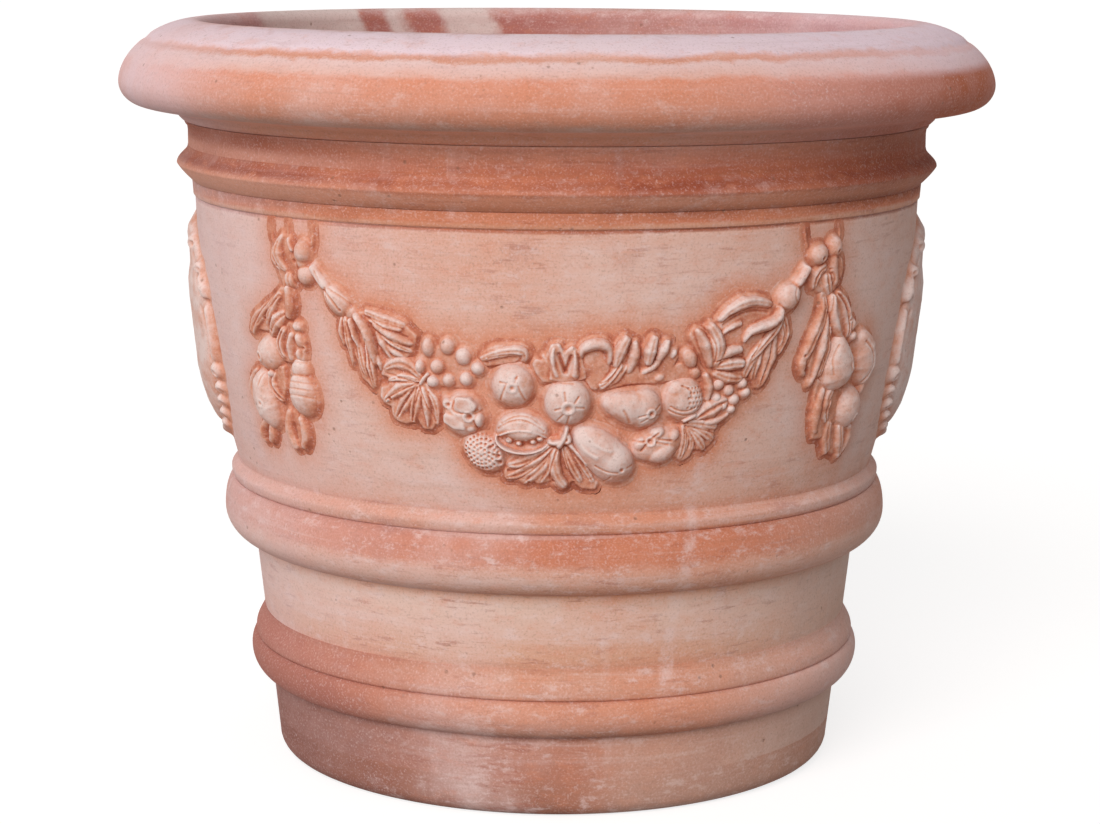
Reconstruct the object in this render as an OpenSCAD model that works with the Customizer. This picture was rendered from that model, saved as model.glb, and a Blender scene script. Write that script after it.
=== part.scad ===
// Round terracotta planter with a rolled rim, a waist band and a foot band, a garland of fruit
// between ribbon knots on the front and again on the back, and a plain scrolled shield on each side.
// Millimetres. +Z is up, the front faces -Y, and the origin is on the floor under the pot's middle.

/* [Base] */
// Thickness of the base slab
slab_t = 45; // [30:1:60]
// Rounding of the slab's lower edge
slab_round = 20; // [8:1:26]
// Radius of the drainage hole
drain_r = 22; // [10:1:40]

/* [Walls] */
// Radius that the lower wall would have at the floor
foot_r = 323; // [300:1:335]
// Outside radius where the two walls meet under the waist band
seam_r = 357; // [345:1:365]
// Height where the two walls meet
seam_z = 300; // [290:1:310]
// Outside radius at the top of the upper wall
collar_r = 417; // [405:1:420]
// Height of the top of the upper wall
collar_z = 670; // [660:1:690]
// How far the upper wall bows out halfway up
wall_bow = 13; // [0:1:20]
// Thickness of the walls
wall_t = 38; // [25:1:45]

/* [Foot band] */
// Height of the underside of the foot roll
foot_roll_z = 94; // [85:1:98]
// Height of the foot roll, up to the groove
foot_roll_h = 44.5; // [40:0.5:50]
// How far the foot roll stands out from the wall
foot_roll_out = 21; // [12:1:26]
// Height of the foot fillet, above the groove
foot_fillet_h = 33; // [20:1:40]
// How far the foot fillet stands out from the wall
foot_fillet_out = 14; // [8:1:18]

/* [Waist band] */
// Height of the underside of the waist roll
waist_roll_z = 256; // [245:1:262]
// Height of the waist roll, up to the groove
waist_roll_h = 70; // [64:1:76]
// How far the waist roll stands out from the wall
waist_roll_out = 31; // [20:1:38]
// Height of the waist fillet, above the groove
waist_fillet_h = 22; // [14:1:28]
// How far the waist fillet stands out from the wall
waist_fillet_out = 11.5; // [6:0.5:16]

/* [Collar] */
// Height of the flat strip under the bead
strip_h = 17; // [10:1:22]
// How far the strip stands out from the wall
strip_out = 2.4; // [1:0.2:5]
// Height of the bead
bead_h = 39; // [30:1:44]
// How far the bead stands out from the wall
bead_out = 20; // [12:1:26]
// How far the neck stands out from the top of the wall
neck_step = 7; // [4:0.5:13]
// Height of the neck
neck_h = 68; // [60:1:80]
// Thickness of the neck
neck_t = 38; // [25:1:44]

/* [Rim] */
// How far the rolled rim stands out from the neck
rim_out = 77; // [56:1:96]
// Height of the rolled rim
rim_h = 112; // [95:1:125]
// How far the mouth opens out from the inside of the neck
mouth_step = 15; // [6:1:20]
// Rounding of the rim's inner edge
lip_round = 14; // [6:1:20]

/* [Ornament] */
// Gap that the slip fills under each sprig and moulding
slip_t = 0.2; // [0.1:0.05:0.3]
// Thickness of a sprig at its edge
edge_t = 2; // [1:0.5:3]
// How far the ornament starts below the strip
hang_gap = 13; // [8:1:20]
// How far a full round fruit stands proud
fruit_rise = 17; // [8:1:24]
// How far a leaf stands proud
leaf_rise = 8; // [4:1:12]
// Angle of the left knot, round from the middle of a garland
knot_az = 42; // [41:0.5:43]
// How many degrees further round the right knot hangs
right_lag = 1.5; // [0:0.5:2]

/* [Fruit] */
// Radius of the apple
apple_r = 23.5; // [16:0.5:25]
// Radius of the pomegranate
pomegranate_r = 25; // [18:0.5:26]
// Radius of the medlar
medlar_r = 22; // [15:0.5:23]
// Half the length of the split pod
pod_l = 31; // [20:0.5:32]
// Half the width of the split pod
pod_w = 18; // [10:0.5:19]
// Half the length of the pine cone
cone_l = 22; // [14:0.5:23]
// Half the length of the quince
quince_l = 40; // [26:0.5:41]
// Half the width of the quince
quince_w = 24; // [16:0.5:25]
// Half the length of the pear
pear_l = 33; // [22:0.5:34]
// Half the width of the pear
pear_w = 22; // [15:0.5:23]
// Half the length of the star fruit
star_l = 26; // [17:0.5:27]
// Half the width of the star fruit
star_w = 16.5; // [10:0.5:17]
// Radius of the rough fruit
rough_r = 19.5; // [12:0.5:20.5]
// Radius of a grape
grape_r = 8; // [5:0.25:8.5]
// Half the length of the bud at each end of a garland
bud_l = 21; // [14:0.5:22]
// Half the width of the bud at each end of a garland
bud_w = 15; // [9:0.5:16]

/* [Leaves] */
// Length of the acanthus leaves
acanthus_l = 74; // [50:1:78]
// Radius of the vine leaf
vine_r = 31; // [22:0.5:32]
// Radius of the fan leaf
fan_r = 29; // [20:0.5:30]
// Length of the leaves under the garland
bottom_leaf_l = 44; // [30:1:46]
// Length of the leaflets over the garland
top_leaf_l = 36; // [20:1:38]
// Length of the ribbon ends over a knot
ribbon_l = 20; // [10:1:22]

/* [Shields] */
// Half the width of a shield
shield_w = 86; // [60:1:92]
// Half the height of a shield
shield_h = 125; // [90:1:128]
// How far the middle of a shield stands proud
shield_rise = 16; // [10:1:20]
// How far the scrolls on a shield's edge stand proud
scroll_rise = 12; // [8:1:16]

/* [Hidden] */

// Fired clay: paler where the wall was scraped, redder on the mouldings and the sprigs
wall_clay = "#d9a58c";
band_clay = "#cf8a6c";
rim_clay = "#d98e70";
fruit_clay = "#dc9c80";
leaf_clay = "#d38d6f";
shield_clay = "#d49a80";

$fn = 96;
curve_steps = 12;

strip_z = collar_z - strip_h;
bead_top_z = collar_z + bead_h;
neck_top_z = collar_z + neck_h;
neck_r = collar_r + neck_step;
rim_r = neck_r + rim_out;
mouth_r = neck_r - neck_t + mouth_step;
neck_lip_out = 3.5;
pot_h = neck_top_z + rim_h;
foot_groove_z = foot_roll_z + foot_roll_h;
waist_groove_z = waist_roll_z + waist_roll_h;
hang_z = strip_z - hang_gap;
right_az = knot_az + right_lag;

// Outside radius of the lower wall at height z
function low_r(z) = foot_r + (seam_r - foot_r) * z / seam_z;

// Outside radius of the upper wall at height z
function high_r(z) = let(u = (z - seam_z) / (collar_z - seam_z))
    seam_r + (collar_r - seam_r) * u + 4 * wall_bow * u * (1 - u);

// Outside radius of the bare pot at any height up to the collar
function wall_r(z) = z < seam_z ? low_r(z) : high_r(z);

// Points of a moulding's face, from its underside up to its widest ring and on to its top
function swell_up(z0, r0, z1, r1) = [for (i = [0 : curve_steps])
    let(a = 90 * i / curve_steps) [r0 + (r1 - r0) * sin(a), z1 - (z1 - z0) * cos(a)]];
function round_over(z0, r0, z1, r1) = [for (i = [1 : curve_steps])
    let(a = 90 * i / curve_steps) [r1 + (r0 - r1) * cos(a), z0 + (z1 - z0) * sin(a)]];
function flare_in(z0, r0, z1, r1) = [for (i = [1 : curve_steps])
    let(u = i / curve_steps) [r1 + (r0 - r1) * (1 + cos(180 * u)) / 2, z0 + (z1 - z0) * u]];

// Points down the wall's outside from height z1 to z0, with room for the slip
function seat_line(z1, z0) = [for (i = [0 : curve_steps])
    let(z = z1 + (z0 - z1) * i / curve_steps) [wall_r(z) + slip_t, z]];

// The pot

module base_slab() {
    top_r = low_r(slab_t);
    round_r = low_r(slab_round) - slab_round;
    color(band_clay)
    rotate_extrude()
    polygon(concat(
        [[drain_r, 0]],
        [for (i = [0 : curve_steps]) let(a = 90 * i / curve_steps)
            [round_r + slab_round * sin(a), slab_round * (1 - cos(a))]],
        [[top_r, slab_t], [drain_r, slab_t]]));
}

module lower_wall() {
    color(wall_clay)
    rotate_extrude()
    polygon([
        [low_r(slab_t) - wall_t, slab_t], [low_r(slab_t), slab_t],
        [seam_r, seam_z], [seam_r - wall_t, seam_z]]);
}

module upper_wall() {
    outside = [for (i = [0 : curve_steps])
        let(z = seam_z + (collar_z - seam_z) * i / curve_steps) [high_r(z), z]];
    inside = [for (i = [curve_steps : -1 : 0]) [outside[i][0] - wall_t, outside[i][1]]];
    color(wall_clay)
    rotate_extrude()
    polygon(concat(outside, inside));
}

module foot_roll() {
    widest_z = foot_roll_z + 0.66 * foot_roll_h;
    tip_r = low_r(widest_z) + foot_roll_out;
    color(band_clay)
    rotate_extrude()
    polygon(concat(
        swell_up(foot_roll_z, low_r(foot_roll_z) + slip_t, widest_z, tip_r),
        round_over(widest_z, tip_r, foot_groove_z, low_r(foot_groove_z) + foot_fillet_out - 1),
        seat_line(foot_groove_z, foot_roll_z)));
}

module foot_fillet() {
    tip_r = low_r(foot_groove_z) + foot_fillet_out;
    top_z = foot_groove_z + foot_fillet_h;
    color(band_clay)
    rotate_extrude()
    polygon(concat(
        [[tip_r - 1, foot_groove_z], [tip_r, foot_groove_z + 3]],
        flare_in(foot_groove_z + 5, tip_r, top_z, low_r(top_z) + 2 * slip_t),
        seat_line(top_z, foot_groove_z)));
}

module waist_roll() {
    widest_z = waist_roll_z + 0.49 * waist_roll_h;
    tip_r = low_r(widest_z) + waist_roll_out;
    color(band_clay)
    rotate_extrude()
    polygon(concat(
        swell_up(waist_roll_z, low_r(waist_roll_z) + slip_t, widest_z, tip_r),
        round_over(widest_z, tip_r, waist_groove_z, high_r(waist_groove_z) + waist_fillet_out - 2),
        seat_line(waist_groove_z, seam_z),
        seat_line(seam_z - slip_t, waist_roll_z)));
}

module waist_fillet() {
    widest_z = waist_groove_z + 0.45 * waist_fillet_h;
    tip_r = high_r(widest_z) + waist_fillet_out;
    top_z = waist_groove_z + waist_fillet_h;
    color(band_clay)
    rotate_extrude()
    polygon(concat(
        swell_up(waist_groove_z, high_r(waist_groove_z) + waist_fillet_out - 2, widest_z, tip_r),
        flare_in(widest_z, tip_r, top_z, high_r(top_z) + 2 * slip_t),
        seat_line(top_z, waist_groove_z)));
}

module collar_strip() {
    color(band_clay)
    rotate_extrude()
    polygon(concat(
        [[high_r(strip_z) + strip_out, strip_z], [high_r(collar_z) + strip_out + 1, collar_z]],
        seat_line(collar_z, strip_z)));
}

module collar_bead() {
    widest_z = collar_z + 0.54 * bead_h;
    tip_r = collar_r + bead_out;
    color(rim_clay)
    rotate_extrude()
    polygon(concat(
        swell_up(collar_z, collar_r + strip_out + 1, widest_z, tip_r),
        flare_in(widest_z, tip_r, bead_top_z, neck_r),
        [[collar_r + slip_t, bead_top_z], [collar_r + slip_t, collar_z]]));
}

module neck_ring() {
    lip_h = 4;
    color(rim_clay)
    rotate_extrude()
    polygon([
        [collar_r - wall_t, collar_z], [collar_r, collar_z], [collar_r, bead_top_z],
        [neck_r, bead_top_z], [neck_r, neck_top_z - lip_h],
        [neck_r + neck_lip_out, neck_top_z - lip_h + 1], [neck_r + neck_lip_out, neck_top_z],
        [neck_r - neck_t, neck_top_z]]);
}

module rim_roll() {
    neck_lip_r = neck_r + neck_lip_out - 0.5;
    under_z = neck_top_z + 0.16 * rim_h;
    widest_z = neck_top_z + 0.39 * rim_h;
    under_r = neck_r + 0.65 * rim_out;
    crest_r = mouth_r + lip_round;
    // The shoulder is a little flatter than an ellipse
    flatness = 1.8;
    color(rim_clay)
    rotate_extrude()
    polygon(concat(
        [[neck_r - neck_t, neck_top_z], [neck_lip_r, neck_top_z]],
        swell_up(under_z, under_r, widest_z, rim_r),
        [for (i = [1 : 2 * curve_steps])
            let(u = 1 - i / (2 * curve_steps), x = sin(90 * u))
            [crest_r + (rim_r - crest_r) * x,
                widest_z + (pot_h - widest_z) * pow(1 - pow(x, flatness), 1 / flatness)]],
        [for (i = [1 : curve_steps])
            let(a = 90 * i / curve_steps)
            [crest_r - lip_round * sin(a), pot_h - lip_round * (1 - cos(a))]]));
}

// Ornament: sprigs bent round the pot, each with its back on the wall

// Point over the wall at az degrees round from the front, height z, standing proud of it
function on_wall(az, z, proud) = let(r = wall_r(z) + proud) [r * sin(az), -r * cos(az), z];

// The same for a flat point p, right and up in millimetres from the sprig's place at [az, z]
function laid(place, p, proud) =
    on_wall(place[0] + p[0] / wall_r(place[1]) * 180 / PI, place[1] + p[1], proud);

// Place of a sprig that lies p away from another place, p right and up in millimetres
function laid_at(place, p) = [place[0] + p[0] / wall_r(place[1]) * 180 / PI, place[1] + p[1]];

// Unit vector at angle a, measured from the right towards up
function towards(a) = [cos(a), sin(a)];

// Closed skin through loops of equally many points, drawn to one point at each end
module skin(start, loops, end) {
    n = len(loops[0]);
    last = 1 + (len(loops) - 1) * n;
    polyhedron(
        points = concat([start], [for (l = loops) each l], [end]),
        faces = concat(
            [for (j = [0 : n - 1]) [0, 1 + (j + 1) % n, 1 + j]],
            [for (k = [0 : len(loops) - 2], j = [0 : n - 1])
                let(a = 1 + k * n + j, b = 1 + k * n + (j + 1) % n) each [[a, b, a + n], [b, b + n, a + n]]],
            [for (j = [0 : n - 1]) [last + n, last + j, last + (j + 1) % n]]));
}

// Round sprig at place: outline(a) is its radius at angle a, swell(t, a) how far it stands proud
// at t of the way from its nose to its edge, and nose is the place of its highest ring's middle
module rounded(place, outline, swell, nose = [0, 0], sides = 15, rings = 5, backs = [1, 0.5]) {
    front = [for (k = [1 : rings]) let(t = sin(90 * k / rings))
        [for (j = [0 : sides - 1]) let(a = 360 * j / sides)
            laid(place, nose * (1 - t) + outline(a) * t * towards(a), slip_t + edge_t + swell(t, a))]];
    back = [for (t = backs)
        [for (j = [0 : sides - 1]) let(a = 360 * j / sides)
            laid(place, nose * (1 - t) + outline(a) * t * towards(a), slip_t)]];
    skin(laid(place, nose, slip_t + edge_t + swell(0, 0)), concat(front, back), laid(place, nose, slip_t));
}

// Outlines
function circle_line(r) = function(a) r;
function oval_line(l, w, turn) =
    function(a) l * w / norm([w * cos(a - turn), l * sin(a - turn)]);
function egg_line(l, w, turn, taper) =
    function(a) l * w / norm([w * cos(a - turn), l * sin(a - turn)]) * (1 - taper * (1 - cos(a - turn)) / 2);
function lobed_line(r, lobes, turn, depth) =
    function(a) r * (1 - depth * pow(abs(sin(lobes * (a - turn) / 2)), 2));

// Faces of fruit: a plain dome, and a dome with a raised star round a pit
function dome(t) = sqrt(max(0, 1 - t * t));
function plain(rise) = function(t, a) rise * dome(t);
function starred(rise, points, turn) =
    function(t, a) rise * dome(t) + (t < 0.1 ? -3.5 : t < 0.6 ? 2.2 * cos(points * (a - turn)) : 0);
function ribbed(rise, ribs) = function(t, a) rise * dome(t) * (1 + 0.1 * cos(ribs * a));

// Leaf face: highest halfway out, creased along its ribs
function leaf_fan(rise, lobes, turn) =
    function(t, a) rise * (0.35 + 0.65 * sin(180 * min(1, t * 0.95))) * (0.6 + 0.4 * cos(lobes * (a - turn)));

// Long leaf from place towards turn: bend is how far it curls, notch how deep its edge is cut
module leaf(place, turn, long, wide, rise = leaf_rise, bend = 0, notch = 0.3, rows = 8) {
    heading = function(u) turn + bend * u;
    spine = function(u) bend == 0 ? long * u * towards(turn)
        : let(r = long / bend * 180 / PI)
            r * [sin(heading(u)) - sin(turn), cos(turn) - cos(heading(u))];
    loops = [for (i = [1 : rows])
        let(
            u = i / (rows + 1),
            half = max(1.2, wide * pow(sin(180 * pow(u, 0.85)), 0.7) * (1 - notch * (i % 2))),
            right = [sin(heading(u)), -cos(heading(u))],
            at = function(v) spine(u) + right * v * half + towards(heading(u)) * abs(v) * half * notch,
            crown = rise * (0.55 + 0.45 * sin(180 * u)))
        concat(
            [for (v = [1 : -0.5 : -1])
                laid(place, at(v), slip_t + edge_t + crown * (abs(v) == 0.5 ? 1 : v == 0 ? 0.5 : 0))],
            [for (v = [-1 : 1]) laid(place, at(v), slip_t)])];
    skin(laid(place, [0, 0], slip_t + edge_t), loops, laid(place, spine(1), slip_t + edge_t));
}

// Places on the wall: degrees round from the middle of the garland, and height
function hung(az, drop) = [az, hang_z - drop];

// Degrees round to a knot, from the middle of its garland
function knot_at(side) = side < 0 ? -knot_az : right_az;

module knot(side) {
    az = knot_at(side);
    color(leaf_clay) {
        rounded(hung(az + side * 1.9, 25), oval_line(18, 11, 90 + side * 10), plain(9), sides = 12, rings = 3);
        rounded(hung(az - side * 2.1, 21), circle_line(12.5), plain(12), sides = 12, rings = 3);
        rounded(hung(az - side * 2.2, 48), circle_line(12), plain(9), sides = 12, rings = 3);
        rounded(hung(az + side * 1.1, 55), oval_line(10, 8, 90), plain(6), sides = 10, rings = 3);
    }
    color(leaf_clay)
    for (turn = [-2.6, 2.4])
        leaf(hung(az + side * turn, ribbon_l - hang_gap + 10), 90, ribbon_l, 3, 1.5, notch = 0, rows = 3);
}

module left_drop_leaves() {
    color(leaf_clay) {
        leaf(hung(-knot_az - 2.9, 66), 224, 78, 12, bend = 8);
        leaf(hung(-knot_az - 0.6, 70), 236, 56, 9, bend = 12);
        leaf(hung(-knot_az + 0.4, 86), 268, 54, 11, bend = 4);
        leaf(hung(-knot_az - 5.3, 158), 276, 44, 6, bend = -8, notch = 0.1, rows = 6);
        leaf(hung(-knot_az - 11.2, 226), 252, 28, 8, notch = 0.1, rows = 5);
        leaf(hung(-knot_az - 3.4, 205), 268, 42, 10, notch = 0.15, rows = 6);
    }
}

module left_drop_fruit() {
    color(fruit_clay) {
        rounded(hung(-knot_az - 8.1, 143), egg_line(18, 17, 90, 0.1), starred(11, 4, 0), rings = 4);
        rounded(hung(-knot_az - 9.9, 193), egg_line(28, 22, 262, 0.3), plain(15), nose = [-2, -6], rings = 4);
        rounded(hung(-knot_az - 0.5, 173), egg_line(28, 22, 268, 0.25), ribbed(15, 5), nose = [1, -6], rings = 4);
    }
}

module right_drop_leaves() {
    color(leaf_clay) {
        leaf(hung(right_az - 0.6, 68), 264, 94, 11, bend = 4);
        leaf(hung(right_az + 1.8, 70), 293, 42, 8, bend = -6, rows = 6);
        leaf(hung(right_az + 3.4, 176), 270, 50, 11, bend = -4, notch = 0.15, rows = 6);
        leaf(hung(right_az + 9.2, 226), 286, 36, 11, notch = 0.15, rows = 5);
    }
}

module right_drop_fruit() {
    color(fruit_clay) {
        rounded(hung(right_az + 6.2, 142), egg_line(32, 19, 274, 0.35), plain(17), nose = [0, -8], rings = 4);
        rounded(hung(right_az + 12.9, 146), egg_line(30, 16, 276, 0.3), plain(14), nose = [0, -6], rings = 4);
        rounded(hung(right_az + 8.2, 100), circle_line(10), plain(8), sides = 10, rings = 3);
        rounded(hung(right_az + 10.4, 200), egg_line(22, 18, 272, 0.1), plain(14), rings = 4);
    }
}

module stem_buds() {
    for (side = [-1, 1]) {
        az = knot_at(side);
        color(fruit_clay) {
            leaf(hung(az - side * 4.1, 37), 270 - side * 45, 22, 5, 7, notch = 0, rows = 4);
            rounded(hung(az - side * 7.7, 68), egg_line(bud_l, bud_w, 270 - side * 50, 0.1), ribbed(12, 5),
                rings = 4);
        }
    }
}

module left_acanthus() {
    color(leaf_clay) {
        leaf(hung(-31.4, 88), 290, acanthus_l * 0.94, 15, bend = -4);
        leaf(hung(-30.2, 92), 308, acanthus_l * 0.76, 11, bend = -10);
        leaf(hung(-29.2, 86), 328, acanthus_l * 0.9, 15, bend = 6);
    }
}

module right_acanthus() {
    color(leaf_clay) {
        leaf(hung(33.4, 84), 196, acanthus_l, 13, bend = 8);
        leaf(hung(33.4, 92), 220, acanthus_l * 0.9, 12, bend = 8);
        leaf(hung(33.9, 96), 248, acanthus_l * 0.85, 12, bend = 4);
        rounded(hung(24.9, 124), lobed_line(21, 5, 40, 0.3), leaf_fan(9, 5, 40), sides = 20, rings = 3);
    }
}

module vine_leaf() {
    color(leaf_clay)
    rounded(hung(-23.3, 169), lobed_line(vine_r, 5, 60, 0.3), leaf_fan(10, 5, 60), nose = [8, 8],
        sides = 30, rings = 4);
}

module fan_leaf() {
    color(leaf_clay)
    rounded(hung(23.3, 213), lobed_line(fan_r, 5, 10, 0.25), leaf_fan(8, 5, 10), nose = [-8, 10],
        sides = 30, rings = 4);
}

module top_leaves() {
    color(leaf_clay) {
        leaf(hung(-10.7, 118), 14, top_leaf_l * 1.15, 7, 6, bend = -20, rows = 6);
        leaf(hung(0.6, 136), 112, top_leaf_l, 8, 7, bend = -6, notch = 0.1, rows = 6);
        leaf(hung(2.6, 136), 70, top_leaf_l, 8, 7, bend = 6, notch = 0.1, rows = 6);
        leaf(hung(5.7, 146), 88, top_leaf_l * 1.1, 8, 7, bend = 60, notch = 0.1, rows = 6);
        leaf(hung(8.6, 142), 66, top_leaf_l * 1.25, 9, 7, notch = 0.15, rows = 6);
        leaf(hung(12.8, 140), 66, top_leaf_l * 1.15, 9, 7, notch = 0.15, rows = 6);
    }
    color(fruit_clay)
    rounded(hung(20.0, 126), egg_line(15, 9, 110, 0.2), plain(10), sides = 12, rings = 3);
}

module bottom_leaves() {
    // Five fingers spread from one stalk, each starting a little way out from it
    stalk = hung(1.2, 211);
    color(leaf_clay)
    for (i = [0 : 4])
        let(turn = 206 + 22 * i)
        leaf(laid_at(stalk, 13 * towards(turn)), turn, bottom_leaf_l, 6.5, bend = 6 - 3 * i);
}

module grapes() {
    // Rolled balls of clay: rows of a bunch under the left shoulder, and a smaller one on the right
    left_rows = [[-18.8, 112], [-15.8, 110], [-13.2, 120], [-20.2, 133], [-17.3, 132], [-11.0, 134],
        [-18.3, 149], [-15.6, 147], [-13.0, 146]];
    right_rows = [[24.7, 154], [26.9, 161], [24.5, 171], [26.9, 176], [29.1, 163]];
    color(fruit_clay) {
        for (p = left_rows)
            rounded(hung(p[0], p[1]), circle_line(grape_r), plain(10), sides = 9, rings = 3);
        for (p = right_rows)
            rounded(hung(p[0], p[1]), circle_line(grape_r * 0.85), plain(8), sides = 9, rings = 3);
    }
}

module apple() {
    color(fruit_clay)
    rounded(hung(-6.3, 150), circle_line(apple_r), starred(fruit_rise, 4, 45));
}

module pomegranate() {
    color(fruit_clay)
    rounded(hung(1.8, 166), circle_line(pomegranate_r), starred(fruit_rise + 2, 5, 18));
}

module medlar() {
    color(fruit_clay)
    rounded(hung(-13.7, 181), circle_line(medlar_r), starred(fruit_rise - 2, 5, 54), nose = [3, -3]);
}

module split_pod() {
    // The gash is lowest along the pod's length, and shows the seeds as small bumps
    gash = function(t, a) (fruit_rise - 2) * dome(t) - 5 * pow(cos(a - 165), 8) * (t < 0.8 ? 1 : 0);
    color(fruit_clay)
    rounded(hung(-5.2, 200), oval_line(pod_l, pod_w, 165), gash, sides = 20);
}

module pine_cone() {
    scaly = function(t, a) (fruit_rise - 3) * dome(t) + (t < 0.97 ? 1.4 * cos(5 * a + 400 * t) : 0);
    color(fruit_clay)
    rounded(hung(-11.2, 222), egg_line(cone_l, cone_l * 0.8, 320, 0.2), scaly);
}

module quince() {
    color(fruit_clay)
    rounded(hung(7.8, 224), egg_line(quince_l, quince_w, 320, 0.25), starred(fruit_rise + 3, 3, 320),
        nose = [8, -6]);
}

module pear() {
    color(fruit_clay)
    rounded(hung(11.6, 173), egg_line(pear_l, pear_w, 345, 0.3), starred(fruit_rise, 5, 0), nose = [9, -4]);
}

module star_fruit() {
    color(fruit_clay)
    rounded(hung(16.0, 217), oval_line(star_l, star_w, 12), starred(fruit_rise - 3, 5, 20), nose = [-2, 2]);
}

module rough_fruit() {
    knobbly = function(t, a) (fruit_rise - 3) * dome(t) + (t < 0.97 ? 1.6 * cos(6 * a + 500 * t) : 0);
    color(fruit_clay)
    rounded(hung(19.9, 168), circle_line(rough_r), knobbly, sides = 18);
}

// Side shields: a plain bowed field whose edge rolls up into scrolls, under one big scroll

module shield(az) {
    // Scrolls down each edge: how far out of the middle, how far down, and radius
    edge_scrolls = [[0.93, 0.62, 12], [0.86, 1.36, 11], [0.77, 1.5, 8], [0.67, 1.62, 8], [0.54, 1.74, 8]];
    pointed = function(a) let(up = sin(a))
        shield_w * shield_h / norm([shield_h * cos(a), shield_w * sin(a)])
        * (up < 0 ? 1 - 0.12 * pow(abs(sin(2 * a)), 2) : 1 - 0.05 * pow(up, 8));
    bowed = function(t, a) (shield_rise - edge_t) * pow(max(0, 1 - pow(t, 6)), 0.5) + (t == 1 ? 3 : 0);
    color(shield_clay) {
        rounded([az, hang_z - shield_h], pointed, bowed, sides = 24, rings = 5, backs = [1, 0.75, 0.5, 0.25]);
        rounded(hung(az, 15), oval_line(26, 15, 0), plain(scroll_rise + 2), sides = 12, rings = 3);
        for (side = [-1, 1], p = edge_scrolls)
            rounded(laid_at([az, hang_z], [side * p[0] * shield_w, -p[1] * shield_h]), circle_line(p[2]),
                plain(scroll_rise), sides = 8, rings = 2, backs = [1]);
    }
}

module left_shield() {
    shield(-90);
}

module right_shield() {
    shield(90);
}

// The garland on the back is the front one turned half round
module turned() {
    rotate([0, 0, 180])
    children();
}

base_slab();
lower_wall();
upper_wall();
foot_roll();
foot_fillet();
waist_roll();
waist_fillet();
collar_strip();
collar_bead();
neck_ring();
rim_roll();
left_shield();
right_shield();
knot(-1);  // front_left_knot
knot(1);  // front_right_knot
left_drop_leaves();  // front_left_drop_leaves
left_drop_fruit();  // front_left_drop_fruit
right_drop_leaves();  // front_right_drop_leaves
right_drop_fruit();  // front_right_drop_fruit
stem_buds();  // front_stem_buds
left_acanthus();  // front_left_acanthus
right_acanthus();  // front_right_acanthus
vine_leaf();  // front_vine_leaf
fan_leaf();  // front_fan_leaf
top_leaves();  // front_top_leaves
bottom_leaves();  // front_bottom_leaves
grapes();  // front_grapes
apple();  // front_apple
pomegranate();  // front_pomegranate
medlar();  // front_medlar
split_pod();  // front_split_pod
pine_cone();  // front_pine_cone
quince();  // front_quince
pear();  // front_pear
star_fruit();  // front_star_fruit
rough_fruit();  // front_rough_fruit
turned() knot(-1);  // back_left_knot
turned() knot(1);  // back_right_knot
turned() left_drop_leaves();  // back_left_drop_leaves
turned() left_drop_fruit();  // back_left_drop_fruit
turned() right_drop_leaves();  // back_right_drop_leaves
turned() right_drop_fruit();  // back_right_drop_fruit
turned() stem_buds();  // back_stem_buds
turned() left_acanthus();  // back_left_acanthus
turned() right_acanthus();  // back_right_acanthus
turned() vine_leaf();  // back_vine_leaf
turned() fan_leaf();  // back_fan_leaf
turned() top_leaves();  // back_top_leaves
turned() bottom_leaves();  // back_bottom_leaves
turned() grapes();  // back_grapes
turned() apple();  // back_apple
turned() pomegranate();  // back_pomegranate
turned() medlar();  // back_medlar
turned() split_pod();  // back_split_pod
turned() pine_cone();  // back_pine_cone
turned() quince();  // back_quince
turned() pear();  // back_pear
turned() star_fruit();  // back_star_fruit
turned() rough_fruit();  // back_rough_fruit
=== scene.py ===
import math
import bpy
import numpy as np
from mathutils import Matrix, Vector, kdtree


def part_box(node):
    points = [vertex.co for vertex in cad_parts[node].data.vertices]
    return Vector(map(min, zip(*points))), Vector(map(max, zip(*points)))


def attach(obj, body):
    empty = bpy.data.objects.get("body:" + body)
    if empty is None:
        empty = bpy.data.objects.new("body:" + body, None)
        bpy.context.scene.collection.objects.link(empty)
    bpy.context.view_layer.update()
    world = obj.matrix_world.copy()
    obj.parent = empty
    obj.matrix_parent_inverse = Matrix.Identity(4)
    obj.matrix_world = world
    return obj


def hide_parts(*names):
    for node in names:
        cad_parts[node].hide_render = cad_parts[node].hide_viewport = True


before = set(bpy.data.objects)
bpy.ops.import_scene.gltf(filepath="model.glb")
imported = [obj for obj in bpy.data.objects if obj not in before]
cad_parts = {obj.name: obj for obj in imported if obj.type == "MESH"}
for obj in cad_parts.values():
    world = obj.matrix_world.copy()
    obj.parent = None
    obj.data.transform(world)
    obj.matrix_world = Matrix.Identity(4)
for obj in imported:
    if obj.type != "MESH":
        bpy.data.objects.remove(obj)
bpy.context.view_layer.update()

# Base slab
# A thick round of coarse clay beaten out on the bench, with a drain hole cut through its middle.
# Its lower edge is thumbed round, so that the pot can be walked about on its foot.
BASE_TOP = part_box("base_slab")[1]
WALL_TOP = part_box("lower_wall")[1]
COLLAR_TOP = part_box("upper_wall")[1]
SEAM_R, SEAM_Z = WALL_TOP[0], WALL_TOP[2]
COLLAR_R, COLLAR_Z = COLLAR_TOP[0], COLLAR_TOP[2]
LOWER_SLOPE = (SEAM_R - BASE_TOP[0]) / (SEAM_Z - BASE_TOP[2])
WALL_BOW = 0.013
WALL_THICK = 0.038
DRAIN_R = 0.022
SLAB_ROUND = 0.020
CRISP = 50
MM = 0.001


def wall_r(z):
    """Outside radius of the bare wall at height z, up to the collar."""
    z = np.asarray(z, float)
    u = (z - SEAM_Z) / (COLLAR_Z - SEAM_Z)
    upper = SEAM_R + (COLLAR_R - SEAM_R) * u + 4 * WALL_BOW * u * (1 - u)
    return np.where(z < SEAM_Z, SEAM_R + LOWER_SLOPE * (z - SEAM_Z), upper)


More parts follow.
